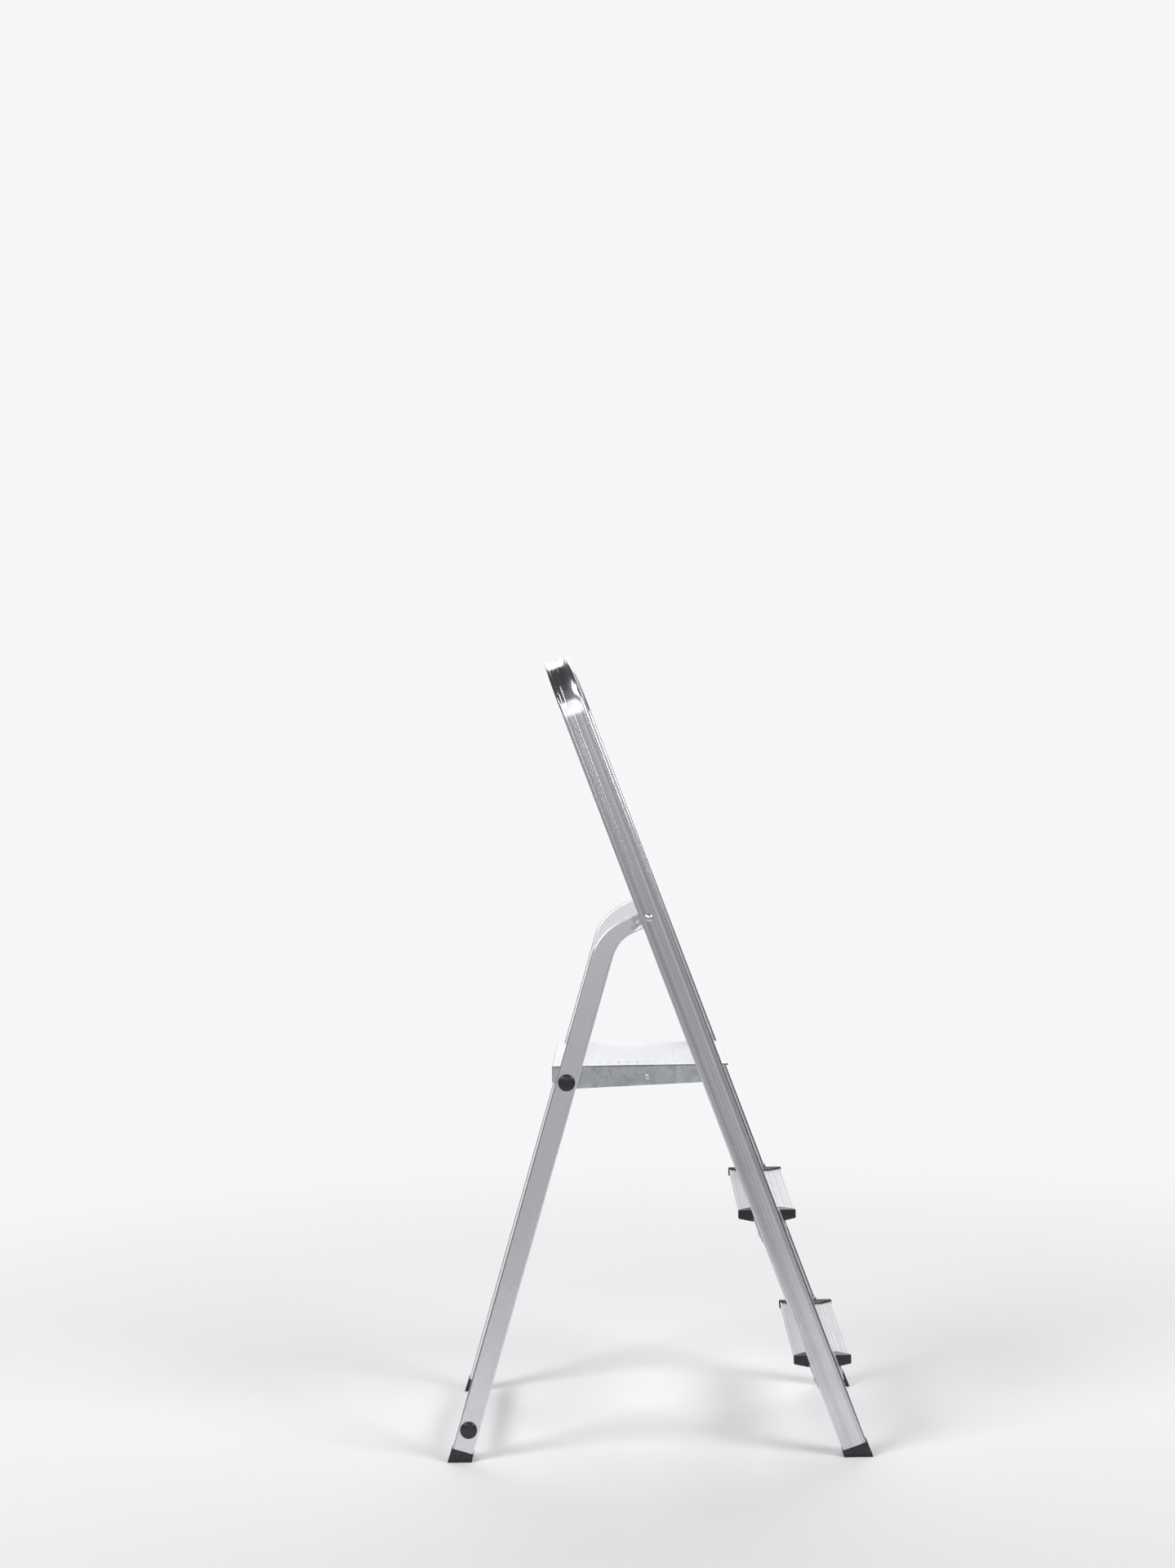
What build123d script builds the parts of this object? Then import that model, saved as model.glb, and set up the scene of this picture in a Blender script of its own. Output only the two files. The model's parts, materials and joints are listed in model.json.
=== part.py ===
from build123d import *
import os
from math import atan, cos, radians, sin, tan

# Folding step ladder: a bent aluminium front frame with a high handrail hoop, two ribbed treads,
# a sheet-steel platform hinged to the rear frame, and four plastic feet.
# Millimetres. +X points to the climbing side, +Y to the climber's right, +Z up.
# The origin is on the floor, in the middle of the footprint.

# ---- driving dimensions --------------------------------------------------------------------------
FRAME_WIDTH = 430.0            # over the outer faces of the stiles, and over the rear feet
FRONT_LEAN = 19.8              # stiles from the vertical, degrees
STILE_FLOOR_X = 315.1          # where the stile's centre line meets the floor
STILE_DEPTH = 40.0             # stile section, front to back
STILE_THICK = 25.0             # stile section, across the ladder
STILE_WALL = 2.0
STILE_CORNER = 3.6             # radius of the section's outer corners
STILE_GROOVE_DEPTH = 0.6       # fine grooves along the stile's faces
HOOP_TOP_LENGTH = 1359.0       # from the floor to the top of the hoop, along the stile
HOOP_BEND_RADIUS = 87.5        # to the centre line of the tube

REAR_LEAN = 16.84              # rear legs from the vertical, degrees
LEG_FLOOR_X = -319.7           # where the leg's centre line meets the floor
LEG_DEPTH = 33.7
LEG_THICK = 20.0
LEG_WALL = 1.6
LEG_END_DEPTH = 26.7           # the bent top end is pressed narrower
LEG_END_RISE = 24.0            # angle of the bent end above the horizontal, degrees
LEG_OUTER_BEND = 109.0
LEG_INNER_BEND = 42.0
LEG_CORNER = 2.8

PIVOT_X = -2.2
PIVOT_Z = 862.6
PIVOT_PIN_RADIUS = 4.0
PIVOT_HEAD_RADIUS = 6.2
PIVOT_HEAD_HEIGHT = 3.2
PIVOT_WASHER_RADIUS = 9.5
LEG_GAP_AT_PIVOT = 2.0         # between the stile's inner face and the leg

TREAD_TOPS = {"lower": 153.5, "upper": 388.5}
TREAD_DEPTH = 88.0
TREAD_EDGE = 9.8               # height of the front and rear lips
TREAD_BOX_DEPTH = 46.0         # the deeper box in the middle of the tread
TREAD_BOX_HEIGHT = 14.6
TREAD_WALL = 1.8
TREAD_HALF_LENGTH = 185.7
RIB_PITCH = 5.0
RIB_DEPTH = 1.0

CAP_WALL = 1.9
CAP_HALF_WIDTH = 187.7         # outer face of the end caps from the middle of the ladder
CAP_REACH = 27.0               # how far the cap's top rim runs in over the tread
CAP_EDGE_REACH = 9.0           # the same at the front and rear corners

BRACKET_WALL = 2.0
BRACKET_WRAP = 14.0            # how far the strap runs over the stile's front and rear faces
BRACKET_DROP = 25.0            # below the tread
BRACKET_CORNER = 8.0
BRACKET_TAB_WIDTH = 30.0
BRACKET_TAB_REACH = 26.0       # how far the tab runs in under the tread
BRACKET_RIVET_DROP = 13.75     # the strap's rivets below the tread
BRACKET_RIVET_INSET = 8.0      # and outwards from the stile's inner face
BRACKET_RIVET_RADIUS = 2.4

PLATFORM_TOP = 619.5
PLATFORM_REAR_X = -163.0
PLATFORM_FRONT_X = 122.0
PLATFORM_HALF_WIDTH = 140.0
SHEET = 1.5
FLANGE_REAR_BOTTOM = 582.4
FLANGE_FRONT_BOTTOM = 589.6
REAR_WALL_BOTTOM = 594.0
SHEET_BEND = 2.6               # outer radius of the folded sheet's edges
HOOK_DEPTH = 3.6               # the hook of the side flange in front of the rest bar
PLATFORM_RIBS = 9
PLATFORM_RIB_LENGTH = 226.0
PLATFORM_RIB_WIDTH = 4.2
PLATFORM_RIB_HEIGHT = 0.9
PLATFORM_RIB_PITCH = 15.5
PLATFORM_RIB_MIDDLE_X = -24.0
STIFFENER_X = -8.4
STIFFENER_WIDTH = 34.0
STIFFENER_DEPTH = 26.0
STIFFENER_RIVET_Z = 600.0
STIFFENER_RIVET_RADIUS = 2.0

TUBE_RADIUS = 12.0             # cross tubes of the rear frame
TUBE_BORE = 10.4
UPPER_TUBE_Z = 600.5
LOWER_TUBE_Z = 50.7
PLUG_HEAD_RADIUS = 13.6
PLUG_HEAD_HEIGHT = 5.0
PLUG_SHANK = 18.0
BUSH_RADIUS = 13.8             # plastic bush in the platform's flange
BUSH_RIM_RADIUS = 15.4
SPACER_WALL = 2.4
BAR_RADIUS = 10.0              # bar between the stiles that the platform rests on
BAR_WALL = 1.5
BAR_INSERT = 5.0               # how far the bar runs into each stile
RUNNING = 0.07                 # radial clearance of a hinge
SEAT = 0.05                    # radial clearance of a fixed fit

FOOT_TOP_LENGTH = 17.5         # from the floor to the foot's collar, along the stile or leg
FOOT_PROUD = 1.3
FOOT_PLUG = 18.5
SOLE_GROOVE_PITCH = 6.5
SOLE_GROOVE_WIDTH = 2.0

# ---- shared geometry -----------------------------------------------------------------------------
front_lean = radians(FRONT_LEAN)
rear_lean = radians(REAR_LEAN)
end_rise = radians(LEG_END_RISE)
half_frame = FRAME_WIDTH / 2
stile_inner = half_frame - STILE_THICK
rivet_y = stile_inner + BRACKET_RIVET_INSET
leg_flare = (LEG_GAP_AT_PIVOT + STILE_THICK) / PIVOT_Z
flare_angle = atan(leg_flare)
SIDES = {"left": -1, "right": 1}


def stile_axis_x(z):
    """X of the stile's centre line at a height."""
    return STILE_FLOOR_X - z * tan(front_lean)


def leg_axis_x(z):
    """X of the rear leg's centre line at a height."""
    return LEG_FLOOR_X + z * tan(rear_lean)


def leg_outer_y(z):
    """Distance of the rear leg's outer face from the middle of the ladder."""
    return half_frame - leg_flare * z


def rivet_length(top):
    """Distance up the stile from the floor to the rivets of a tread's bracket."""
    return (top - TREAD_BOX_HEIGHT - BRACKET_RIVET_DROP) / cos(front_lean)


def across(x, z):
    """A plane across the ladder's middle at a point of its side view. Its normal is +Y."""
    return Plane(origin=(x, 0, z), x_dir=(-1, 0, 0), z_dir=(0, 1, 0))


def outline(points):
    """A filled polygon through the points, in the current sketch."""
    with BuildLine() as border:
        Polyline(*points, close=True)
    make_face(border.edges())


os.makedirs("parts", exist_ok=True)


def save(builder, name):
    """Label a finished sub-part and write it."""
    builder.part.label = name
    export_step(builder.part, f"parts/{name}.step")


# Side views are drawn on this plane: drawing x is +X, drawing y is +Z, and the normal is -Y.
side_view = Plane(origin=(0, 0, 0), x_dir=(1, 0, 0), z_dir=(0, -1, 0))

# In the plane of the front frame: x is +Y, y runs up the stiles and z points to the climber.
stile_plane = Plane(
    origin=(STILE_FLOOR_X, 0, 0),
    x_dir=(0, 1, 0),
    z_dir=(cos(front_lean), 0, sin(front_lean)),
)
stile_front = Axis(stile_plane.origin, stile_plane.z_dir)
stile_up = Axis(stile_plane.origin, stile_plane.y_dir)

# ---- front frame ---------------------------------------------------------------------------------
stile_line = half_frame - STILE_THICK / 2
hoop_middle = HOOP_TOP_LENGTH - STILE_THICK / 2
bend_start = hoop_middle - HOOP_BEND_RADIUS
bar_z = FLANGE_FRONT_BOTTOM - BAR_RADIUS - 0.4
bar_x = stile_axis_x(bar_z)


def stile_profile():
    """Hollow section of the frame tube: drawing x is front to back, drawing -y the outer face."""
    RectangleRounded(STILE_DEPTH, STILE_THICK, STILE_CORNER)
    # fine grooves on the outer face, one of them beside the rounded front corner
    for place, width in ((-14.0, 1.7), (-8.4, 1.7), (-2.6, 1.1), (15.0, 1.1)):
        with Locations((place, -STILE_THICK / 2)):
            Rectangle(width, 2 * STILE_GROOVE_DEPTH, mode=Mode.SUBTRACT)
    # a shallow channel in the inner face
    with Locations((0, STILE_THICK / 2)):
        Rectangle(STILE_DEPTH * 0.4, 2 * STILE_GROOVE_DEPTH, mode=Mode.SUBTRACT)
    RectangleRounded(
        STILE_DEPTH - 2 * STILE_WALL, STILE_THICK - 2 * STILE_WALL, 1.6, mode=Mode.SUBTRACT
    )


with BuildPart() as front_frame:
    # one stile, its bend and half of the hoop's top, then the mirror image
    stile_end = Plane(
        origin=stile_plane.from_local_coords((-stile_line, FOOT_TOP_LENGTH, 0)),
        x_dir=stile_plane.z_dir,
        z_dir=stile_plane.y_dir,
    )
    straight = bend_start - FOOT_TOP_LENGTH
    with BuildSketch(stile_end):
        stile_profile()
    extrude(amount=straight)
    with BuildSketch(stile_end.offset(straight)):
        stile_profile()
    bend_centre = stile_plane.from_local_coords((-stile_line + HOOP_BEND_RADIUS, bend_start, 0))
    revolve(axis=Axis(bend_centre, -stile_plane.z_dir), revolution_arc=90)
    hoop_start = Plane(
        origin=stile_plane.from_local_coords((-stile_line + HOOP_BEND_RADIUS, hoop_middle, 0)),
        x_dir=stile_plane.z_dir,
        z_dir=(0, 1, 0),
    )
    with BuildSketch(hoop_start):
        stile_profile()
    extrude(amount=stile_line - HOOP_BEND_RADIUS)
    mirror(about=Plane.XZ)
    # pivot rivet holes through both walls of each stile
    with BuildSketch(across(PIVOT_X, PIVOT_Z)):
        Circle(PIVOT_PIN_RADIUS + SEAT)
    extrude(amount=FRAME_WIDTH, both=True, mode=Mode.SUBTRACT)
    # the rest bar is let into the inner walls
    with BuildSketch(across(bar_x, bar_z)):
        Circle(BAR_RADIUS + SEAT)
    extrude(amount=stile_inner + BAR_INSERT + 2, both=True, mode=Mode.SUBTRACT)
    # rivet holes of the tread brackets, front and back
    for top in TREAD_TOPS.values():
        with BuildSketch(stile_plane):
            with Locations(*[(sign * rivet_y, rivet_length(top)) for sign in SIDES.values()]):
                Circle(BRACKET_RIVET_RADIUS + SEAT)
        extrude(amount=STILE_DEPTH, both=True, mode=Mode.SUBTRACT)
save(front_frame, "front_frame")


# ---- treads --------------------------------------------------------------------------------------
def tread_outline(top, grow=0.0):
    """The tread's outer silhouette in the side view, grown by a clearance."""
    middle = stile_axis_x(top - TREAD_BOX_HEIGHT / 2)
    half = TREAD_DEPTH / 2 + grow
    box = TREAD_BOX_DEPTH / 2 + grow
    lip = top - TREAD_EDGE - grow
    bottom = top - TREAD_BOX_HEIGHT - grow
    return [
        (middle - half, top + grow),
        (middle - half, lip),
        (middle - box - 4, lip),
        (middle - box, bottom),
        (middle + box, bottom),
        (middle + box + 4, lip),
        (middle + half, lip),
        (middle + half, top + grow),
    ]


for level, top in TREAD_TOPS.items():
    middle = stile_axis_x(top - TREAD_BOX_HEIGHT / 2)
    plate = top - RIB_DEPTH - TREAD_WALL
    with BuildPart() as tread:
        with BuildSketch(side_view):
            outline(tread_outline(top))
            # the box below the middle
            box_room = TREAD_BOX_DEPTH - 2 * TREAD_WALL
            box_floor = top - TREAD_BOX_HEIGHT + TREAD_WALL
            with Locations((middle, (plate + box_floor) / 2)):
                Rectangle(box_room, plate - box_floor, mode=Mode.SUBTRACT)
            # the open channels behind the front and rear lips
            channel_low = top - TREAD_BOX_HEIGHT - 2
            channel_out = TREAD_DEPTH / 2 - TREAD_WALL
            channel_in = TREAD_BOX_DEPTH / 2 + TREAD_WALL * 0.4
            channel_middle = (channel_in + channel_out) / 2
            for facing in (-1, 1):
                with Locations((middle + facing * channel_middle, (plate + channel_low) / 2)):
                    Rectangle(channel_out - channel_in, plate - channel_low, mode=Mode.SUBTRACT)
            # ribbed top, and two fine grooves along the front and rear faces
            rib_count = int(TREAD_DEPTH / RIB_PITCH)
            with Locations((middle, top)):
                with GridLocations(RIB_PITCH, 1, rib_count, 1):
                    Rectangle(RIB_PITCH * 0.45, 2 * RIB_DEPTH, mode=Mode.SUBTRACT)
            with Locations((middle, top - TREAD_EDGE * 0.52)):
                with GridLocations(TREAD_DEPTH, 3.4, 2, 2):
                    Rectangle(1.0, 1.1, mode=Mode.SUBTRACT)
        extrude(amount=TREAD_HALF_LENGTH, both=True)
    save(tread, f"{level}_tread")


# ---- tread end caps ------------------------------------------------------------------------------
for level, top in TREAD_TOPS.items():
    middle = stile_axis_x(top - TREAD_BOX_HEIGHT / 2)
    for side, sign in SIDES.items():
        outer_face = side_view.offset(-sign * CAP_HALF_WIDTH)
        wall_back = side_view.offset(-sign * (TREAD_HALF_LENGTH + 0.1))
        with BuildPart() as cap:
            with BuildSketch(outer_face):
                outline(tread_outline(top, CAP_WALL))
            extrude(amount=sign * CAP_REACH)
            with BuildSketch(wall_back):
                outline(tread_outline(top, 0.1))
            extrude(amount=sign * CAP_REACH, mode=Mode.SUBTRACT)
            # the underside is open beyond a short lip
            with BuildSketch(side_view.offset(-sign * (CAP_HALF_WIDTH - 6.0))):
                with Locations((middle, top - 22.0)):
                    Rectangle(2 * TREAD_DEPTH, 43.0)
            extrude(amount=sign * CAP_REACH, mode=Mode.SUBTRACT)
            # the top rim narrows towards the front and rear corners
            reach_y = sign * (CAP_HALF_WIDTH - CAP_REACH)
            corner_y = sign * (CAP_HALF_WIDTH - CAP_EDGE_REACH)
            past_y = reach_y - sign * 4
            half = TREAD_DEPTH / 2 + 6
            for facing in (-1, 1):
                with BuildSketch(Plane.XY.offset(top - 1)):
                    outline([
                        (middle + facing * 20, reach_y),
                        (middle + facing * (TREAD_DEPTH / 2 - 2), corner_y),
                        (middle + facing * half, corner_y),
                        (middle + facing * half, past_y),
                        (middle + facing * 20, past_y),
                    ])
                extrude(amount=CAP_WALL + 4, mode=Mode.SUBTRACT)
            rim = cap.edges().filter_by(Axis.Y).group_by(Axis.Z)[-1]
            fillet(rim, 1.2)
        save(cap, f"{level}_tread_cap_{side}")


# ---- tread brackets: straps round the inner half of the stile, with a tab under the tread --------
STRAP_GAP = 0.1
for level, top in TREAD_TOPS.items():
    tread_bottom = top - TREAD_BOX_HEIGHT
    middle = stile_axis_x(top - TREAD_BOX_HEIGHT / 2)
    strap_low = (tread_bottom - CAP_WALL - BRACKET_DROP) / cos(front_lean)
    strap_high = (top - 2.0) / cos(front_lean)
    strap_half = STILE_DEPTH / 2 + STRAP_GAP
    for side, sign in SIDES.items():
        with BuildPart() as bracket:
            with BuildSketch(stile_plane.offset(-strap_half - BRACKET_WALL)):
                with Locations((sign * (stile_inner + BRACKET_WRAP / 2 - 1), (strap_low + strap_high) / 2)):
                    Rectangle(BRACKET_WRAP + 2, strap_high - strap_low)
            extrude(amount=2 * (strap_half + BRACKET_WALL))
            rounded = bracket.edges().filter_by(stile_front).group_by(stile_up)[0]
            outer_corner = rounded.sort_by(Axis.Y)[-1 if sign > 0 else 0]
            fillet(outer_corner, BRACKET_CORNER)
            # room for the stile
            with BuildSketch(stile_plane.offset(-strap_half)):
                with Locations((sign * (stile_inner - STRAP_GAP + 20), (strap_low + strap_high) / 2)):
                    Rectangle(40, 2 * (strap_high - strap_low))
            extrude(amount=2 * strap_half, mode=Mode.SUBTRACT)
            # the web stops where the cap begins
            with BuildSketch(side_view.offset(-sign * (stile_inner - BRACKET_WALL - STRAP_GAP))):
                with Locations((middle, top)):
                    Rectangle(4 * TREAD_DEPTH, 2 * (TREAD_BOX_HEIGHT + 40))
            extrude(amount=sign * 10, mode=Mode.SUBTRACT)
            # the tab that the tread is riveted to
            tab_y = sign * (stile_inner - BRACKET_WALL - STRAP_GAP - BRACKET_TAB_REACH / 2 + 1)
            with BuildSketch(Plane.XY.offset(tread_bottom - CAP_WALL - 0.2)):
                with Locations((middle, tab_y)):
                    Rectangle(BRACKET_TAB_WIDTH, BRACKET_TAB_REACH)
            extrude(amount=-BRACKET_WALL)
            # rivet holes in the strap and in the tab
            with BuildSketch(stile_plane):
                with Locations((sign * rivet_y, rivet_length(top))):
                    Circle(BRACKET_RIVET_RADIUS + SEAT)
            extrude(amount=STILE_DEPTH, both=True, mode=Mode.SUBTRACT)
            with BuildSketch(Plane.XY.offset(tread_bottom)):
                with Locations((middle, tab_y - sign * 4)):
                    Circle(BRACKET_RIVET_RADIUS + SEAT)
            extrude(amount=-2 * BRACKET_DROP, mode=Mode.SUBTRACT)
        save(bracket, f"{level}_bracket_{side}")


# ---- rivets of the brackets: blind rivets with a domed head --------------------------------------
def rivet_profile(head_radius, head_height, shank_radius, shank_length):
    """Half section of a rivet in the current sketch: head above the axis origin, shank below."""
    with BuildLine() as border:
        top = (0, head_height)
        rim = (head_radius, 0)
        ThreePointArc(top, (head_radius * 0.72, head_height * 0.68), rim)
        Polyline(rim, (shank_radius, 0), (shank_radius, -shank_length), (0, -shank_length), top)
    make_face(border.edges())


with BuildPart() as bracket_rivets:
    head_plane = STILE_DEPTH / 2 + STRAP_GAP + BRACKET_WALL + 0.05
    for top in TREAD_TOPS.values():
        for sign in SIDES.values():
            for facing in (-1, 1):
                seat = stile_plane.from_local_coords(
                    (sign * rivet_y, rivet_length(top), facing * head_plane)
                )
                section = Plane(origin=seat, x_dir=(0, 1, 0), z_dir=-facing * stile_plane.y_dir)
                with BuildSketch(section):
                    rivet_profile(4.6, 1.7, BRACKET_RIVET_RADIUS, BRACKET_WALL + STILE_WALL + 1.2)
                revolve(axis=Axis(seat, section.y_dir))
save(bracket_rivets, "bracket_rivets")


# ---- platform rest bar ---------------------------------------------------------------------------
with BuildPart() as platform_rest_bar:
    with BuildSketch(across(bar_x, bar_z)):
        Circle(BAR_RADIUS)
        Circle(BAR_RADIUS - BAR_WALL, mode=Mode.SUBTRACT)
    extrude(amount=stile_inner + BAR_INSERT, both=True)
save(platform_rest_bar, "platform_rest_bar")


# ---- pivot rivets and washers --------------------------------------------------------------------
leg_inner_at_pivot = leg_outer_y(PIVOT_Z) - LEG_THICK
for side, sign in SIDES.items():
    with BuildPart() as pivot_rivet:
        with BuildSketch(Plane(origin=(PIVOT_X, 0, PIVOT_Z), x_dir=(1, 0, 0), z_dir=(0, 0, 1))):
            # drawing y runs along the pin
            outer = half_frame + 0.05
            inner = leg_inner_at_pivot - 0.9
            with BuildLine():
                crown = (0, sign * (outer + PIVOT_HEAD_HEIGHT))
                rim = (PIVOT_HEAD_RADIUS, sign * outer)
                shoulder = (PIVOT_HEAD_RADIUS * 0.72, sign * (outer + PIVOT_HEAD_HEIGHT * 0.65))
                ThreePointArc(crown, shoulder, rim)
                Polyline(
                    rim,
                    (PIVOT_PIN_RADIUS, sign * outer),
                    (PIVOT_PIN_RADIUS, sign * inner),
                    (PIVOT_HEAD_RADIUS, sign * inner),
                    (PIVOT_HEAD_RADIUS - 1.2, sign * (inner - 2.4)),
                    (0, sign * (inner - 2.4)),
                    crown,
                )
            make_face()
        revolve(axis=Axis((PIVOT_X, 0, PIVOT_Z), (0, 1, 0)))
    save(pivot_rivet, f"pivot_rivet_{side}")

    with BuildPart() as washer:
        with BuildSketch(Plane.XZ.offset(-sign * (stile_inner - 0.1))):
            with Locations((PIVOT_X, PIVOT_Z)):
                Circle(PIVOT_WASHER_RADIUS)
                Circle(PIVOT_PIN_RADIUS + SEAT, mode=Mode.SUBTRACT)
        extrude(amount=sign * 1.2)
    save(washer, f"pivot_washer_{side}")


# ---- feet ----------------------------------------------------------------------------------------
def foot(plane, depth, thick, wall, name):
    """A moulded foot: a collar round the tube's outline, cut flat on the floor, with a plug above.

    The plane looks along the tube: its z axis runs up the tube and its origin is on the floor.
    """
    with BuildPart() as block:
        with BuildSketch(plane.offset(FOOT_TOP_LENGTH)):
            RectangleRounded(depth + 2 * FOOT_PROUD, thick + 2 * FOOT_PROUD, 3.2)
        extrude(amount=-(FOOT_TOP_LENGTH + 30))
        with BuildSketch(plane.offset(FOOT_TOP_LENGTH - 1)):
            RectangleRounded(depth - 2 * wall - 0.5, thick - 2 * wall - 0.5, 1.4)
        extrude(amount=FOOT_PLUG)
        split(bisect_by=Plane.XY, keep=Keep.TOP)
        sole = block.faces().sort_by(Axis.Z)[0]
        chamfer(sole.edges(), 1.2)
        # anti-slip grooves across the sole
        with BuildSketch(Plane.XY):
            with Locations((sole.center().X, sole.center().Y)):
                with GridLocations(SOLE_GROOVE_PITCH, 1, 5, 1):
                    Rectangle(SOLE_GROOVE_WIDTH, 3 * thick)
        extrude(amount=1.0, mode=Mode.SUBTRACT)
    save(block, name)


for side, sign in SIDES.items():
    front_look = Plane(
        origin=(STILE_FLOOR_X, sign * stile_line, 0),
        x_dir=stile_plane.z_dir,
        z_dir=stile_plane.y_dir,
    )
    foot(front_look, STILE_DEPTH, STILE_THICK, STILE_WALL, f"front_foot_{side}")


# ---- rear legs -----------------------------------------------------------------------------------
def leg_plane(sign):
    """The outer face of a rear leg: x is +X, y runs up the face, z points to -Y."""
    return Plane(
        origin=(0, sign * half_frame, 0),
        x_dir=(1, 0, 0),
        z_dir=(0, -cos(flare_angle), -sign * sin(flare_angle)),
    )


def meet(point, direction, other_point, other_direction):
    """Where two lines in a drawing cross."""
    turn = direction.X * other_direction.Y - direction.Y * other_direction.X
    gap = other_point - point
    along = (gap.X * other_direction.Y - gap.Y * other_direction.X) / turn
    return point + direction * along


def leg_outline(inset, extra_bottom):
    """The bent leg's outline in its plane, inset by the wall, with an open or square bottom end."""
    stretch = 1 / cos(flare_angle)
    rise = Vector(sin(rear_lean), cos(rear_lean))
    left = Vector(-cos(rear_lean), sin(rear_lean))
    reach = Vector(cos(end_rise), sin(end_rise))
    above = Vector(-sin(end_rise), cos(end_rise))
    foot_end = Vector(LEG_FLOOR_X, 0) + rise * (FOOT_TOP_LENGTH - extra_bottom)
    pivot = Vector(PIVOT_X, PIVOT_Z * stretch)
    half = LEG_DEPTH / 2 - inset
    end_half = LEG_END_DEPTH / 2 - inset
    rear_corner = meet(foot_end + left * half, rise, pivot + above * end_half, reach)
    front_corner = meet(foot_end - left * half, rise, pivot - above * end_half, reach)
    with BuildLine() as border:
        rear_edge = FilletPolyline(
            foot_end + left * half,
            rear_corner,
            pivot + above * end_half,
            radius=LEG_OUTER_BEND - inset,
        )
        nose = ThreePointArc(rear_edge @ 1, pivot + reach * end_half, pivot - above * end_half)
        front_edge = FilletPolyline(
            nose @ 1,
            front_corner,
            foot_end - left * half,
            radius=LEG_INNER_BEND + inset,
        )
        Line(front_edge @ 1, rear_edge @ 0)
    make_face(border.edges())


tube_places = {"upper": UPPER_TUBE_Z, "lower": LOWER_TUBE_Z}
for side, sign in SIDES.items():
    face = leg_plane(sign)
    with BuildPart() as rear_leg:
        with BuildSketch(face):
            leg_outline(0, 0)
        extrude(amount=sign * LEG_THICK)
        ends = rear_leg.faces().sort_by(Axis.Z)[0].edges()
        in_face = rear_leg.edges().filter_by(lambda edge: abs(edge.tangent_at(0.5).dot(face.z_dir)) < 0.5)
        fillet(in_face - ends, LEG_CORNER)
        with BuildSketch(face.offset(sign * LEG_WALL)):
            leg_outline(LEG_WALL, 10)
        extrude(amount=sign * (LEG_THICK - 2 * LEG_WALL), mode=Mode.SUBTRACT)
        with BuildSketch(across(PIVOT_X, PIVOT_Z)):
            Circle(PIVOT_PIN_RADIUS + RUNNING)
        extrude(amount=FRAME_WIDTH, both=True, mode=Mode.SUBTRACT)
        for tube_z in tube_places.values():
            with BuildSketch(across(leg_axis_x(tube_z), tube_z)):
                Circle(TUBE_RADIUS + SEAT)
            extrude(amount=FRAME_WIDTH, both=True, mode=Mode.SUBTRACT)
    save(rear_leg, f"rear_leg_{side}")

for side, sign in SIDES.items():
    up_face = leg_plane(sign).y_dir
    leg_look = Plane(
        origin=leg_plane(sign).from_local_coords((LEG_FLOOR_X, 0, sign * LEG_THICK / 2)),
        x_dir=Vector(1, 0, 0) * cos(rear_lean) - up_face * sin(rear_lean),
        z_dir=Vector(1, 0, 0) * sin(rear_lean) + up_face * cos(rear_lean),
    )
    foot(leg_look, LEG_DEPTH, LEG_THICK, LEG_WALL, f"rear_foot_{side}")


# ---- cross tubes and their domed plugs -----------------------------------------------------------
for level, tube_z in tube_places.items():
    tube_x = leg_axis_x(tube_z)
    tube_end = leg_outer_y(tube_z) - 0.6
    with BuildPart() as cross_tube:
        with BuildSketch(across(tube_x, tube_z)):
            Circle(TUBE_RADIUS)
            Circle(TUBE_BORE, mode=Mode.SUBTRACT)
        extrude(amount=tube_end, both=True)
    save(cross_tube, f"{level}_cross_tube")

    head_seat = leg_outer_y(tube_z) + PLUG_HEAD_RADIUS * leg_flare + 0.05
    for side, sign in SIDES.items():
        with BuildPart() as plug:
            with BuildSketch(Plane(origin=(tube_x, 0, tube_z), x_dir=(1, 0, 0), z_dir=(0, 0, 1))):
                with BuildLine():
                    crown = (0, sign * (head_seat + PLUG_HEAD_HEIGHT))
                    shoulder = (PLUG_HEAD_RADIUS - 1.2, sign * (head_seat + 2.4))
                    rim = (PLUG_HEAD_RADIUS, sign * (head_seat + 1.0))
                    ThreePointArc(crown, (PLUG_HEAD_RADIUS * 0.6, sign * (head_seat + 4.3)), shoulder)
                    Line(shoulder, rim)
                    Polyline(
                        rim,
                        (PLUG_HEAD_RADIUS, sign * head_seat),
                        (TUBE_BORE - SEAT, sign * head_seat),
                        (TUBE_BORE - SEAT, sign * (head_seat - PLUG_SHANK + 3.0)),
                        (TUBE_BORE - 1.5, sign * (head_seat - PLUG_SHANK)),
                        (0, sign * (head_seat - PLUG_SHANK)),
                        crown,
                    )
                make_face()
            revolve(axis=Axis((tube_x, 0, tube_z), (0, 1, 0)))
        save(plug, f"{level}_tube_plug_{side}")


# ---- platform ------------------------------------------------------------------------------------
hinge_x = leg_axis_x(UPPER_TUBE_Z)
hook_x = bar_x + BAR_RADIUS + 0.5
hook_low = bar_z - 3.0

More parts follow.
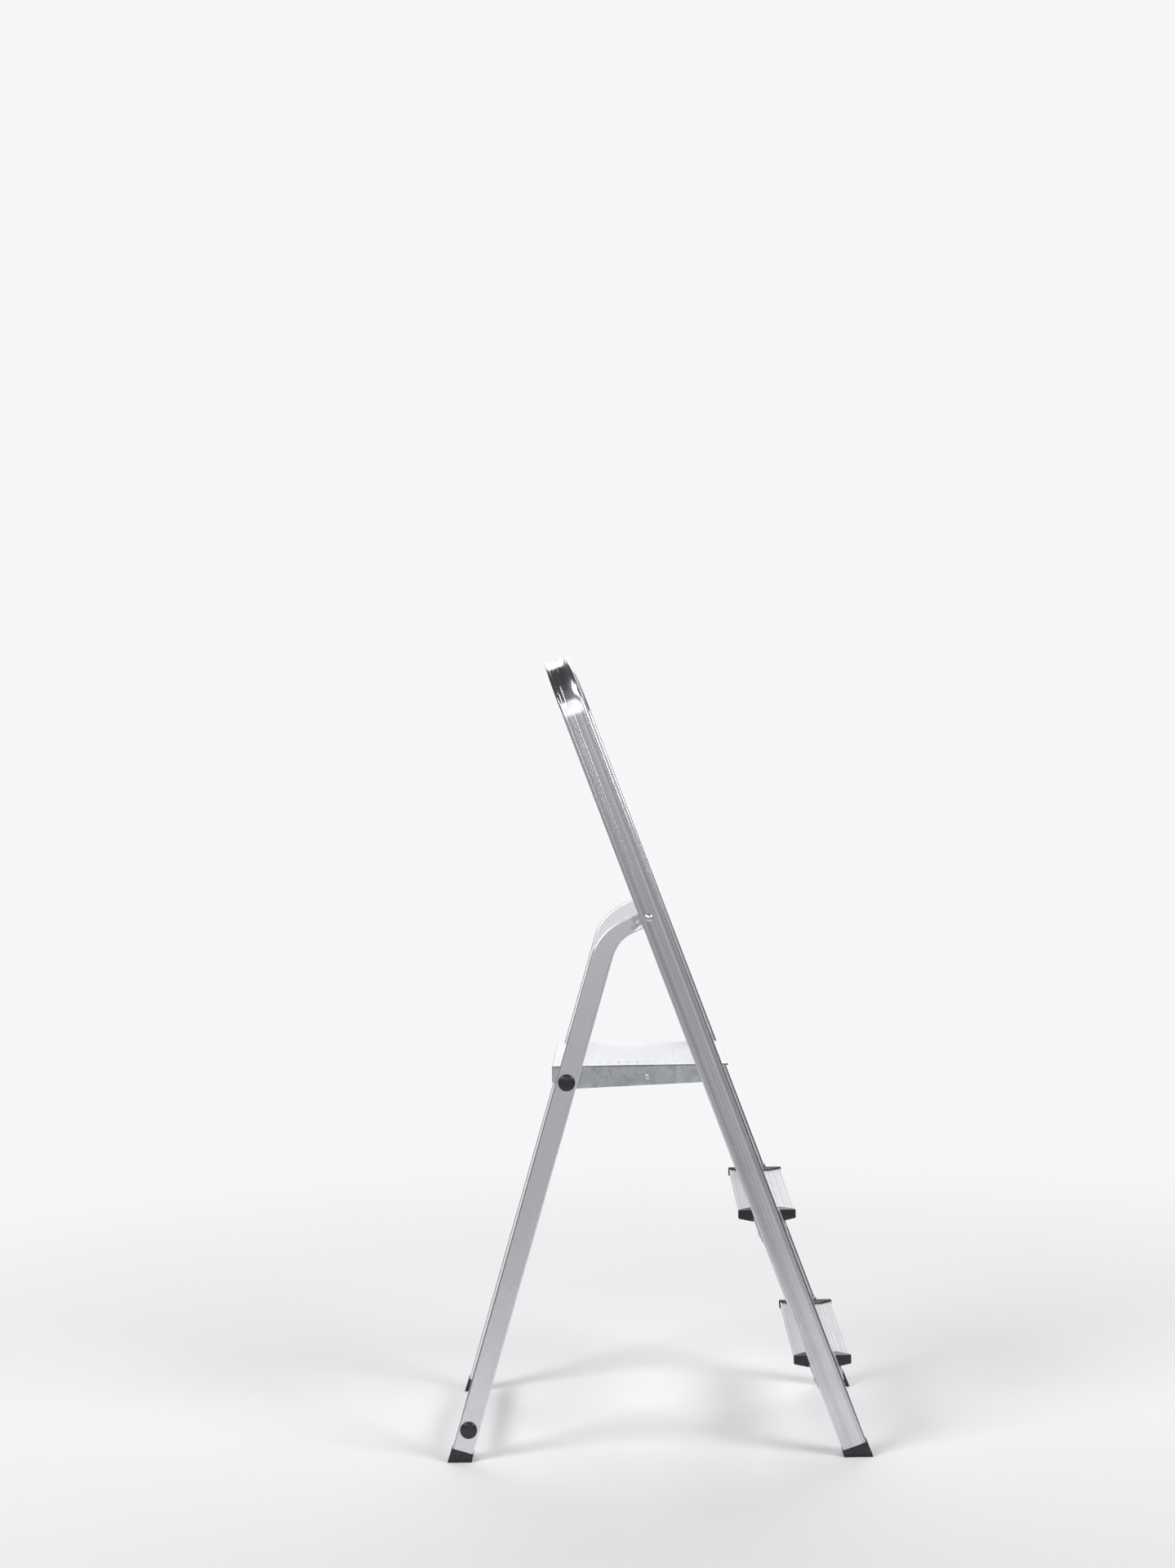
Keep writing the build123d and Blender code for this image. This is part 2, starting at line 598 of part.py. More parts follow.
with BuildPart() as platform:
    # top sheet, side flanges and rear wall, folded from one sheet
    with BuildSketch(side_view.offset(-PLATFORM_HALF_WIDTH)):
        outline([
            (PLATFORM_REAR_X, PLATFORM_TOP),
            (PLATFORM_REAR_X, REAR_WALL_BOTTOM),
            (PLATFORM_REAR_X + 12, FLANGE_REAR_BOTTOM),
            (PLATFORM_REAR_X + 40, FLANGE_REAR_BOTTOM),
            (bar_x - 26, FLANGE_FRONT_BOTTOM),
            (hook_x, FLANGE_FRONT_BOTTOM),
            (hook_x, hook_low),
            (hook_x + HOOK_DEPTH, hook_low),
            (hook_x + HOOK_DEPTH, PLATFORM_TOP - 17),
            (PLATFORM_FRONT_X - 9, PLATFORM_TOP),
        ])
    extrude(amount=2 * PLATFORM_HALF_WIDTH)
    upper_edges = platform.edges().group_by(Axis.Z)[-1]
    fillet(upper_edges.filter_by(Axis.X), SHEET_BEND)
    fillet(platform.edges().filter_by(Axis.Y).group_by(Axis.X)[0].sort_by(Axis.Z)[-1], SHEET_BEND)
    with BuildSketch(side_view.offset(-PLATFORM_HALF_WIDTH + SHEET)):
        with Locations((PLATFORM_REAR_X + SHEET, PLATFORM_TOP - SHEET)):
            Rectangle(300, 100, align=(Align.MIN, Align.MAX))
    extrude(amount=2 * (PLATFORM_HALF_WIDTH - SHEET), mode=Mode.SUBTRACT)
    # front edge of the top sheet, hemmed
    with BuildSketch(side_view.offset(-PLATFORM_HALF_WIDTH)):
        with Locations((PLATFORM_FRONT_X - 10, PLATFORM_TOP - SHEET / 2)):
            Rectangle(14, SHEET)
        with Locations((PLATFORM_FRONT_X - 3, PLATFORM_TOP - 1.6)):
            RectangleRounded(6, 3.2, 1.5)
    extrude(amount=2 * PLATFORM_HALF_WIDTH)
    # raised ribs across the middle of the top
    with BuildSketch(Plane.XY.offset(PLATFORM_TOP - 0.5)):
        with Locations((PLATFORM_RIB_MIDDLE_X, 0)):
            with GridLocations(PLATFORM_RIB_PITCH, 1, PLATFORM_RIBS, 1):
                SlotOverall(PLATFORM_RIB_LENGTH, PLATFORM_RIB_WIDTH, rotation=90)
    extrude(amount=0.5 + PLATFORM_RIB_HEIGHT)
    # bearing holes for the cross tube's bushes
    with BuildSketch(across(hinge_x, UPPER_TUBE_Z)):
        Circle(BUSH_RADIUS + SEAT)
    extrude(amount=FRAME_WIDTH, both=True, mode=Mode.SUBTRACT)
    # rivet holes of the stiffener
    with BuildSketch(across(STIFFENER_X, STIFFENER_RIVET_Z)):
        Circle(STIFFENER_RIVET_RADIUS + SEAT)
    extrude(amount=FRAME_WIDTH, both=True, mode=Mode.SUBTRACT)
save(platform, "platform")

with BuildPart() as platform_stiffener:
    stiffener_half = PLATFORM_HALF_WIDTH - SHEET - 0.1
    stiffener_top = PLATFORM_TOP - SHEET - 0.1
    with BuildSketch(Plane.XY.offset(stiffener_top)):
        with Locations((STIFFENER_X, 0)):
            Rectangle(STIFFENER_WIDTH, 2 * stiffener_half)
    extrude(amount=-STIFFENER_DEPTH)
    with BuildSketch(Plane.XY.offset(stiffener_top)):
        with Locations((STIFFENER_X, 0)):
            Rectangle(STIFFENER_WIDTH - 2 * SHEET, 2 * (stiffener_half - SHEET))
    extrude(amount=SHEET - STIFFENER_DEPTH, mode=Mode.SUBTRACT)
    with BuildSketch(across(STIFFENER_X, STIFFENER_RIVET_Z)):
        Circle(STIFFENER_RIVET_RADIUS + SEAT)
    extrude(amount=FRAME_WIDTH, both=True, mode=Mode.SUBTRACT)
save(platform_stiffener, "platform_stiffener")

with BuildPart() as platform_rivets:
    for sign in SIDES.values():
        seat = (STIFFENER_X, sign * (PLATFORM_HALF_WIDTH + 0.05), STIFFENER_RIVET_Z)
        section = Plane(origin=seat, x_dir=(1, 0, 0), z_dir=(0, 0, sign))
        with BuildSketch(section):
            rivet_profile(4.4, 1.6, STIFFENER_RIVET_RADIUS, 6.0)
        revolve(axis=Axis(seat, section.y_dir))
save(platform_rivets, "platform_rivets")

for side, sign in SIDES.items():
    # plastic bush in the flange, turning on the cross tube
    with BuildPart() as bush:
        with BuildSketch(Plane.XZ.offset(-sign * (PLATFORM_HALF_WIDTH + 1.8))):
            with Locations((hinge_x, UPPER_TUBE_Z)):
                Circle(BUSH_RIM_RADIUS)
        extrude(amount=sign * 1.7)
        with BuildSketch(Plane.XZ.offset(-sign * (PLATFORM_HALF_WIDTH + 0.5))):
            with Locations((hinge_x, UPPER_TUBE_Z)):
                Circle(BUSH_RADIUS)
        extrude(amount=sign * 7.0)
        with BuildSketch(across(hinge_x, UPPER_TUBE_Z)):
            Circle(TUBE_RADIUS + RUNNING)
        extrude(amount=FRAME_WIDTH, both=True, mode=Mode.SUBTRACT)
    save(bush, f"platform_bush_{side}")

    # sleeve on the tube that keeps the platform clear of the leg
    sleeve_start = PLATFORM_HALF_WIDTH + 2.2
    sleeve_end = leg_outer_y(UPPER_TUBE_Z + 16) - LEG_THICK - 0.3
    with BuildPart() as spacer:
        with BuildSketch(Plane.XZ.offset(-sign * sleeve_end)):
            with Locations((hinge_x, UPPER_TUBE_Z)):
                Circle(TUBE_RADIUS + SPACER_WALL)
                Circle(TUBE_RADIUS + SEAT, mode=Mode.SUBTRACT)
        extrude(amount=sign * (sleeve_end - sleeve_start))
    save(spacer, f"platform_spacer_{side}")
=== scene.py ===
import json
import math

import bmesh
import bpy
from mathutils import Matrix, Vector


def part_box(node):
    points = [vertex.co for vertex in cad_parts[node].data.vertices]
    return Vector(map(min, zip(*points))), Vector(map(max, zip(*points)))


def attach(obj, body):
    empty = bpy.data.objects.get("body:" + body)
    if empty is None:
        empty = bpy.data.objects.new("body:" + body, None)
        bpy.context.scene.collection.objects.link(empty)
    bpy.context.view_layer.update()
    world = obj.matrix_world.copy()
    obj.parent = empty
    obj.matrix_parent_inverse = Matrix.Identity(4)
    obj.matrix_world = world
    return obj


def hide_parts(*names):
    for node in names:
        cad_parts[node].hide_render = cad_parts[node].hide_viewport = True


# Folding step ladder. Metres. +X towards the climbing side, +Y across the ladder, +Z up.
# "Left" is the side towards -Y.

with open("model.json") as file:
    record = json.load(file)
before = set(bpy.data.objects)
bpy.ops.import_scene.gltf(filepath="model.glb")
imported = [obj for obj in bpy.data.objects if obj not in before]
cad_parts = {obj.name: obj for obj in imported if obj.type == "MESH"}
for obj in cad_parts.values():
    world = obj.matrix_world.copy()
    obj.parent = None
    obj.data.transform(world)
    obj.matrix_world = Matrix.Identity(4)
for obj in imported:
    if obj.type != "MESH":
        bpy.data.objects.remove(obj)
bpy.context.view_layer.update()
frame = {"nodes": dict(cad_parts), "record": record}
nodes = frame["nodes"]

# ---- measures that more than one piece uses -----------------------------------------------------------
MM = 0.001
SIDES = {"left": -1, "right": 1}
LEVELS = ("lower", "upper")
FRONT_LEAN = math.radians(19.8)
REAR_LEAN = math.radians(16.84)
half_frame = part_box("front_frame")[1].y     # from the middle to a stile's outer face


# ---- node tools ---------------------------------------------------------------------------------------
def add(tree, kind, **inputs):
    """A new node in a tree, with its sockets set by name."""
    node = tree.nodes.new(kind)
    for name, value in inputs.items():
        node.inputs[name].default_value = value
    return node


def link(tree, source, target):
    tree.links.new(source, target)


def maths(tree, operation, first, second=None, clamp=False):
    """A Math node on values or sockets; returns its output."""
    node = tree.nodes.new("ShaderNodeMath")
    node.operation = operation
    node.use_clamp = clamp
    for index, value in enumerate((first, second)):
        if value is None:
            continue
        if isinstance(value, (int, float)):
            node.inputs[index].default_value = value
        else:
            tree.links.new(value, node.inputs[index])
    return node.outputs[0]


def plus(tree, value, extra, share, clamp=False):
    """A value plus a share of another."""
    return maths(tree, "ADD", value, maths(tree, "MULTIPLY", extra, share), clamp)


def blend_values(tree, factor, first, second):
    """Mixes two numbers or sockets by a factor."""
    node = tree.nodes.new("ShaderNodeMix")
    node.data_type = "FLOAT"
    for index, value in ((0, factor), (2, first), (3, second)):
        if isinstance(value, (int, float)):
            node.inputs[index].default_value = value
        else:
            tree.links.new(value, node.inputs[index])
    return node.outputs[0]


def blend_colours(tree, factor, first, second):
    """Mixes two colours or sockets by a factor, which is a socket."""
    node = tree.nodes.new("ShaderNodeMix")
    node.data_type = "RGBA"
    for name, value in (("Factor_Float", factor), ("A_Color", first), ("B_Color", second)):
        socket = next(s for s in node.inputs if s.identifier == name)
        if isinstance(value, tuple):
            socket.default_value = (*value, 1)
        else:
            tree.links.new(value, socket)
    return next(s for s in node.outputs if s.identifier == "Result_Color")


def lay_over(tree, colour, mask, strength, other):
    """Lays another colour over a colour where a mask is, up to a strength."""
    return blend_colours(tree, maths(tree, "MULTIPLY", mask, strength), colour, other)


def levels(tree, value, low, high):
    """Stretches low..high to 0..1, held inside that range."""
    node = tree.nodes.new("ShaderNodeMapRange")
    node.inputs["From Min"].default_value = low
    node.inputs["From Max"].default_value = high
    tree.links.new(value, node.inputs["Value"])
    return node.outputs["Result"]


def floats(*names):
    """Number sockets for a node group."""
    return [(name, "NodeSocketFloat") for name in names]


def new_group(name, inputs, outputs):
    """An empty shader node group with its sockets; returns (group, input node, output node)."""
    group = bpy.data.node_groups.new(name, "ShaderNodeTree")
    for socket, value in inputs:
        made = group.interface.new_socket(socket, in_out="INPUT", socket_type="NodeSocketFloat")
        made.default_value = value
    for socket, kind in outputs:
        group.interface.new_socket(socket, in_out="OUTPUT", socket_type=kind)
    return group, group.nodes.new("NodeGroupInput"), group.nodes.new("NodeGroupOutput")


def use_group(tree, group, **inputs):
    """Places a node group and sets its inputs: numbers as values, sockets as links."""
    node = tree.nodes.new("ShaderNodeGroup")
    node.node_tree = group
    for name, value in inputs.items():
        socket = node.inputs[name]
        if isinstance(value, bpy.types.NodeSocket):
            tree.links.new(value, socket)
        else:
            socket.default_value = value
    return node


def split_axes(tree, vector):
    """The X, Y and Z outputs of a vector."""
    node = tree.nodes.new("ShaderNodeSeparateXYZ")
    tree.links.new(vector, node.inputs[0])
    return node.outputs


def noise(tree, vector, scale, detail=3.0, roughness=0.5):
    """A noise texture on a vector; returns its value."""
    node = add(tree, "ShaderNodeTexNoise", Scale=scale, Detail=detail, Roughness=roughness)
    tree.links.new(vector, node.inputs["Vector"])
    return node.outputs["Fac"]


def stretched(tree, vector, scale):
    """A vector multiplied axis by axis."""
    node = tree.nodes.new("ShaderNodeVectorMath")
    node.operation = "MULTIPLY"
    node.inputs[1].default_value = scale
    tree.links.new(vector, node.inputs[0])
    return node.outputs[0]


# ---- shared effects -----------------------------------------------------------------------------------
def make_drawn_metal():
    """Draw lines, handling scratches, smudges and oxide clouds of drawn or extruded metal.

    Along is the place along the bar in metres, Across and Depth the place in its section, and Lines how
    strong the draw lines are.
    """
    group, given, out = new_group(
        "drawn metal",
        [("Along", 0.0), ("Across", 0.0), ("Depth", 0.0), ("Lines", 1.0)],
        floats("Lines", "Smudges", "Scratches", "Height"),
    )
    section = add(group, "ShaderNodeCombineXYZ")
    link(group, given.outputs["Across"], section.inputs["X"])
    link(group, given.outputs["Depth"], section.inputs["Y"])
    link(group, given.outputs["Along"], section.inputs["Z"])
    place = section.outputs["Vector"]
    # lines pressed in by the die run the whole length
    broad = noise(group, stretched(group, place, (150, 150, 0.15)), 1.0, 2.0, 0.6)
    coarse = noise(group, stretched(group, place, (430, 430, 0.35)), 1.0, 2.0, 0.6)
    fine = noise(group, stretched(group, place, (1500, 1500, 1.2)), 1.0, 1.0, 0.5)
    lines = plus(group, maths(group, "MULTIPLY", broad, 0.18), coarse, 0.47)
    lines = plus(group, lines, fine, 0.35)
    lines = maths(group, "MULTIPLY", maths(group, "SUBTRACT", lines, 0.5), given.outputs["Lines"])
    # clouds of oxide and finger marks
    clouds = levels(group, noise(group, place, 11.0, 2.0, 0.5), 0.36, 0.68)
    marks = levels(group, noise(group, stretched(group, place, (70, 70, 24)), 1.0, 1.5, 0.5), 0.54, 0.7)
    smudges = plus(group, maths(group, "MULTIPLY", clouds, 0.65), marks, 0.35)
    # short scratches in two directions
    found = None
    for turn, seed in ((0.55, 0.0), (-0.9, 3.1)):
        turned = add(group, "ShaderNodeMapping")
        turned.inputs["Rotation"].default_value = (turn, 0.35 * turn, 0.2)
        turned.inputs["Location"].default_value = (seed, 0, seed)
        link(group, place, turned.inputs["Vector"])
        streak = noise(group, stretched(group, turned.outputs[0], (1500, 1500, 26)), 1.0, 1.0, 0.4)
        streak = levels(group, streak, 0.735, 0.78)
        patch = levels(group, noise(group, turned.outputs[0], 9.0, 1.0), 0.5, 0.62)
        streak = maths(group, "MULTIPLY", streak, patch)
        found = streak if found is None else maths(group, "MAXIMUM", found, streak)
    height = maths(group, "MULTIPLY", lines, 0.5)
    height = maths(group, "SUBTRACT", height, maths(group, "MULTIPLY", found, 0.6))
    link(group, lines, out.inputs["Lines"])
    link(group, smudges, out.inputs["Smudges"])
    link(group, found, out.inputs["Scratches"])
    link(group, height, out.inputs["Height"])
    return group


def make_bent_tube(name, bend_centre, bend_radius, first_run, second_run, depth_axis):
    """Place along, across and in depth of a tube that is straight, then bent, then straight.

    The tube is described on the +Y side, and its mirror image has the same places. The runs point away
    from the bend along the two straights, and depth_axis is square to both.
    """
    group, _, out = new_group(name, [], floats("Along", "Across", "Depth"))
    split = split_axes(group, add(group, "ShaderNodeTexCoord").outputs["Object"])
    joined = add(group, "ShaderNodeCombineXYZ")
    link(group, split["X"], joined.inputs["X"])
    link(group, maths(group, "ABSOLUTE", split["Y"]), joined.inputs["Y"])
    link(group, split["Z"], joined.inputs["Z"])

    def vector_maths(operation, first, second):
        node = group.nodes.new("ShaderNodeVectorMath")
        node.operation = operation
        for index, value in enumerate((first, second)):
            if isinstance(value, bpy.types.NodeSocket):
                group.links.new(value, node.inputs[index])
            elif isinstance(value, (int, float)):
                node.inputs["Scale"].default_value = value
            else:
                node.inputs[index].default_value = value
        return node

    def less(place, axis, distance):
        """A place moved back along an axis by a distance."""
        node = vector_maths("SCALE", axis, 1.0)
        link(group, distance, node.inputs["Scale"])
        return vector_maths("SUBTRACT", place, node.outputs["Vector"]).outputs["Vector"]

    away = vector_maths("SUBTRACT", joined.outputs[0], bend_centre).outputs["Vector"]
    depth = vector_maths("DOT_PRODUCT", away, depth_axis).outputs["Value"]
    lengths = []
    for run in (first_run, second_run):
        reach = vector_maths("DOT_PRODUCT", away, run).outputs["Value"]
        reach = maths(group, "MAXIMUM", reach, 0.0)
        lengths.append(reach)
        away = less(away, run, reach)
    away = less(away, depth_axis, depth)
    radius = vector_maths("LENGTH", away, (0, 0, 0)).outputs["Value"]
    turned = vector_maths("DOT_PRODUCT", away, first_run).outputs["Value"]
    along = maths(group, "ADD", maths(group, "SUBTRACT", lengths[0], lengths[1]), turned)
    link(group, along, out.inputs["Along"])
    link(group, maths(group, "SUBTRACT", radius, bend_radius), out.inputs["Across"])
    link(group, depth, out.inputs["Depth"])
    return group


# ---- materials ----------------------------------------------------------------------------------------
def new_material(name):
    """A material with a Principled shader; returns (material, tree, shader)."""
    material = bpy.data.materials.new(name)
    material.use_nodes = True
    tree = material.node_tree
    tree.nodes.clear()
    shader = tree.nodes.new("ShaderNodeBsdfPrincipled")
    output = tree.nodes.new("ShaderNodeOutputMaterial")
    link(tree, shader.outputs[0], output.inputs["Surface"])
    return material, tree, shader


def bump(tree, shader, height, distance, strength):
    """Raises the surface by a height map."""
    node = add(tree, "ShaderNodeBump", Strength=strength, Distance=distance)
    link(tree, height, node.inputs["Height"])
    link(tree, node.outputs["Normal"], shader.inputs["Normal"])


def drawn_aluminium(name, places, bright, dull, rough, line_contrast=4.5, smudge_rough=0.10, relief=0.35,
                    bend_rough=None, worn_foot=None, rough_painted_pale_inside=False):
    """Bare drawn aluminium whose draw lines follow the tube.

    bend_rough is the roughness from the bend on, worn_foot the place along the tube where the lines are
    worn away, and rough_painted_pale_inside makes the faces that look at the other side less smooth and
    paints them paler, a painted light for the light that falls on them.
    """
    material, tree, shader = new_material(name)
    at = use_group(tree, places).outputs
    drawn = use_group(tree, drawn_metal, Along=at["Along"], Across=at["Across"], Depth=at["Depth"]).outputs
    tint = maths(tree, "MULTIPLY", drawn["Lines"], line_contrast)
    if worn_foot is not None:
        worn = levels(tree, at["Along"], worn_foot - 0.35, worn_foot)
        tint = maths(tree, "MULTIPLY", tint, blend_values(tree, worn, 1.0, 0.15))
    tint = maths(tree, "ADD", tint, 0.35)
    tint = plus(tree, tint, drawn["Smudges"], 0.25, clamp=True)
    colour = blend_colours(tree, tint, bright, dull)
    colour = lay_over(tree, colour, drawn["Scratches"], 0.5, (0.9, 0.9, 0.92))
    link(tree, colour, shader.inputs["Base Color"])
    value = plus(tree, rough, drawn["Smudges"], smudge_rough)
    value = plus(tree, value, drawn["Lines"], relief, clamp=True)
    if bend_rough is not None:
        bent = levels(tree, maths(tree, "MULTIPLY", at["Along"], -1.0), -0.06, 0.02)
        value = blend_values(tree, bent, value, bend_rough)
    if rough_painted_pale_inside:
        # painted light: the faces that look at the other side are painted paler, for the light they catch,
        # and made rougher
        side = maths(tree, "SIGN", split_axes(tree, add(tree, "ShaderNodeTexCoord").outputs["Object"])["Y"])
        facing = split_axes(tree, add(tree, "ShaderNodeNewGeometry").outputs["Normal"])["Y"]
        outward = maths(tree, "MULTIPLY", side, facing)
        inside = levels(tree, maths(tree, "MULTIPLY", outward, -1.0), 0.5, 0.9)
        value = blend_values(tree, inside, value, 0.52)
        colour = lay_over(tree, colour, inside, 0.8, (0.97, 0.97, 0.975))
        link(tree, colour, shader.inputs["Base Color"])
    link(tree, value, shader.inputs["Roughness"])
    shader.inputs["Metallic"].default_value = 1.0
    bump(tree, shader, drawn["Height"], 0.06 * MM, relief)
    return material


drawn_metal = make_drawn_metal()
stile_up = Vector((-math.sin(FRONT_LEAN), 0, math.cos(FRONT_LEAN)))
stile_face = Vector((math.cos(FRONT_LEAN), 0, math.sin(FRONT_LEAN)))
HOOP_BEND_RADIUS = 87.5 * MM
STILE_THICK = 25 * MM
STILE_DEPTH = 40 * MM
HOOP_TOP_LENGTH = 1359 * MM
stile_foot = Vector((315.1 * MM, 0, 0))
hoop_bend = (
    stile_foot
    + stile_up * (HOOP_TOP_LENGTH - STILE_THICK / 2 - HOOP_BEND_RADIUS)
    + Vector((0, half_frame - STILE_THICK / 2 - HOOP_BEND_RADIUS, 0))
)
frame_place = make_bent_tube(
    "place on the frame tube", hoop_bend, HOOP_BEND_RADIUS, -stile_up, Vector((0, -1, 0)), stile_face
)
frame_aluminium = drawn_aluminium(
    "frame aluminium", frame_place, bright=(0.86, 0.86, 0.89), dull=(0.50, 0.50, 0.54), rough=0.19,
    line_contrast=7.0, smudge_rough=0.05, relief=0.25, bend_rough=0.16, worn_foot=1.08
)

LEG_END_RISE = math.radians(24.0)
LEG_FLOOR_X = -319.7 * MM
pivot = Vector((-2.2 * MM, 0, 862.6 * MM))
leg_up = Vector((math.sin(REAR_LEAN), 0, math.cos(REAR_LEAN)))
leg_reach = Vector((math.cos(LEG_END_RISE), 0, math.sin(LEG_END_RISE)))
LEG_BEND_RADIUS = 75 * MM


def leg_bend_centre():
    """Middle of the leg's bend in the side view: as far from the leg's line as from its end's line."""
    inward = Vector((math.cos(REAR_LEAN), 0, -math.sin(REAR_LEAN)))
    below = Vector((math.sin(LEG_END_RISE), 0, -math.cos(LEG_END_RISE)))
    foot = Vector((LEG_FLOOR_X, 0, 0))
    turn = leg_up.x * leg_reach.z - leg_up.z * leg_reach.x
    start = foot + inward * LEG_BEND_RADIUS
    end = pivot + below * LEG_BEND_RADIUS
    gap = end - start
    along = (gap.x * leg_reach.z - gap.z * leg_reach.x) / turn
    return start + leg_up * along


LEG_THICK = 20 * MM
PIVOT_GAP = 2 * MM     # between the stile's inner face and the leg
FLARE = math.atan((PIVOT_GAP + STILE_THICK) / pivot.z)     # how far the legs lean in towards each other
leg_rise_axis = Vector((0, -math.sin(FLARE), math.cos(FLARE)))
leg_side_axis = Vector((0, math.cos(FLARE), math.sin(FLARE)))


def in_leg_plane(direction):
    """A side view direction laid into the leaning plane of the leg on the +Y side."""
    return Vector((direction.x, 0, 0)) + leg_rise_axis * direction.z


leg_bend = in_leg_plane(leg_bend_centre()) + Vector((0, half_frame, 0)) - leg_side_axis * LEG_THICK / 2
leg_place = make_bent_tube(
    "place on the leg tube", leg_bend, LEG_BEND_RADIUS,
    -in_leg_plane(leg_up), in_leg_plane(leg_reach), leg_side_axis
)
leg_aluminium = drawn_aluminium(
    "leg aluminium", leg_place, bright=(0.84, 0.845, 0.87), dull=(0.68, 0.69, 0.725), rough=0.27,
    line_contrast=1.3, smudge_rough=0.05, relief=0.08, rough_painted_pale_inside=True
)


def make_cross_place():
    """Place on a bar that runs straight across the ladder."""
    group, _, out = new_group("place across the ladder", [], floats("Along", "Across", "Depth"))
    split = split_axes(group, add(group, "ShaderNodeTexCoord").outputs["Object"])
    for source, target in (("Y", "Along"), ("X", "Across"), ("Z", "Depth")):
        link(group, split[source], out.inputs[target])
    return group


cross_place = make_cross_place()
tread_aluminium = drawn_aluminium(
    "tread aluminium", cross_place, bright=(0.86, 0.86, 0.875), dull=(0.62, 0.62, 0.65), rough=0.36
)


def plated_steel(name, bright, dull, rough):
    """Zinc-plated steel: a faint cloudy tint, drawn along the bar, with scuffed spots."""
    material, tree, shader = new_material(name)
    at = use_group(tree, cross_place).outputs
    drawn = use_group(
        tree, drawn_metal, Along=at["Along"], Across=at["Across"], Depth=at["Depth"], Lines=0.5
    ).outputs
    where = add(tree, "ShaderNodeTexCoord").outputs["Object"]
    clouds = levels(tree, noise(tree, where, 48.0, 4.0, 0.6), 0.35, 0.7)
    colour = blend_colours(tree, clouds, bright, dull)
    colour = lay_over(tree, colour, drawn["Scratches"], 0.6, (0.85, 0.85, 0.86))
    link(tree, colour, shader.inputs["Base Color"])
    value = plus(tree, rough, clouds, 0.12)
    value = plus(tree, value, drawn["Lines"], 0.12, clamp=True)
    link(tree, value, shader.inputs["Roughness"])
    shader.inputs["Metallic"].default_value = 1.0
    bump(tree, shader, drawn["Height"], 0.1 * MM, 0.4)
    return material


bracket_steel = plated_steel(
    "bracket steel", bright=(0.72, 0.72, 0.73), dull=(0.56, 0.57, 0.59), rough=0.30
)
rivet_steel = plated_steel(
    "rivet steel", bright=(0.80, 0.80, 0.80), dull=(0.66, 0.66, 0.67), rough=0.16
)


def make_galvanised():
    """Hot-dip galvanised sheet: crystals of 3 to 8 mm, each with its own tone, and a fine grain."""
    material, tree, shader = new_material("galvanised steel")
    where = add(tree, "ShaderNodeTexCoord").outputs["Object"]
    warp = add(tree, "ShaderNodeTexNoise", Scale=90.0, Detail=3.0)
    link(tree, where, warp.inputs["Vector"])
    bent = add(tree, "ShaderNodeVectorMath")
    bent.operation = "MULTIPLY_ADD"
    link(tree, warp.outputs["Color"], bent.inputs[0])
    bent.inputs[1].default_value = (0.006, 0.006, 0.006)
    link(tree, where, bent.inputs[2])
    tones = []
    for scale in (120.0, 310.0):
        crystal = add(tree, "ShaderNodeTexVoronoi", Scale=scale)
        link(tree, bent.outputs[0], crystal.inputs["Vector"])
        tone = add(tree, "ShaderNodeSeparateColor")
        link(tree, crystal.outputs["Color"], tone.inputs[0])
        tones.append(tone.outputs[0])
    tone = plus(tree, maths(tree, "MULTIPLY", tones[0], 0.6), tones[1], 0.4)
    grain = noise(tree, where, 900.0, 2.0, 0.6)
    bloom = levels(tree, noise(tree, where, 14.0, 4.0, 0.6), 0.4, 0.75)
    tone = plus(tree, maths(tree, "MULTIPLY", tone, 0.75), grain, 0.25)
    colour = blend_colours(tree, tone, (0.42, 0.44, 0.465), (0.72, 0.735, 0.755))
    colour = lay_over(tree, colour, bloom, 0.35, (0.80, 0.81, 0.82))
    # painted shade and painted highlight: a dark line is painted in the groove under the sides' folded edge,
    # where its shadow falls, and the fold itself is painted bright where it catches the light
    platform_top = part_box("platform")[1].z
    facing = split_axes(tree, add(tree, "ShaderNodeNewGeometry").outputs["Normal"])["Y"]
    below_top = maths(tree, "SUBTRACT", platform_top, split_axes(tree, where)["Z"])
    groove = maths(tree, "ABSOLUTE", maths(tree, "SUBTRACT", below_top, 2.4 * MM))
    groove = levels(tree, groove, 1.3 * MM, 0.6 * MM)
    groove = maths(tree, "MULTIPLY", groove, levels(tree, maths(tree, "ABSOLUTE", facing), 0.6, 0.9))
    colour = lay_over(tree, colour, groove, 0.85, (0.10, 0.105, 0.11))
    # painted highlight: a bright band just under the platform's top, along the fold
    fold_highlight = levels(tree, below_top, 1.6 * MM, 0.9 * MM)
    colour = lay_over(tree, colour, fold_highlight, 0.7, (0.93, 0.93, 0.94))
    link(tree, colour, shader.inputs["Base Color"])
    value = plus(tree, 0.27, tone, 0.16)
    value = plus(tree, value, bloom, 0.12, clamp=True)
    link(tree, value, shader.inputs["Roughness"])
    shader.inputs["Metallic"].default_value = 1.0
    bump(tree, shader, maths(tree, "ADD", tone, grain), 0.06 * MM, 0.5)
    return material


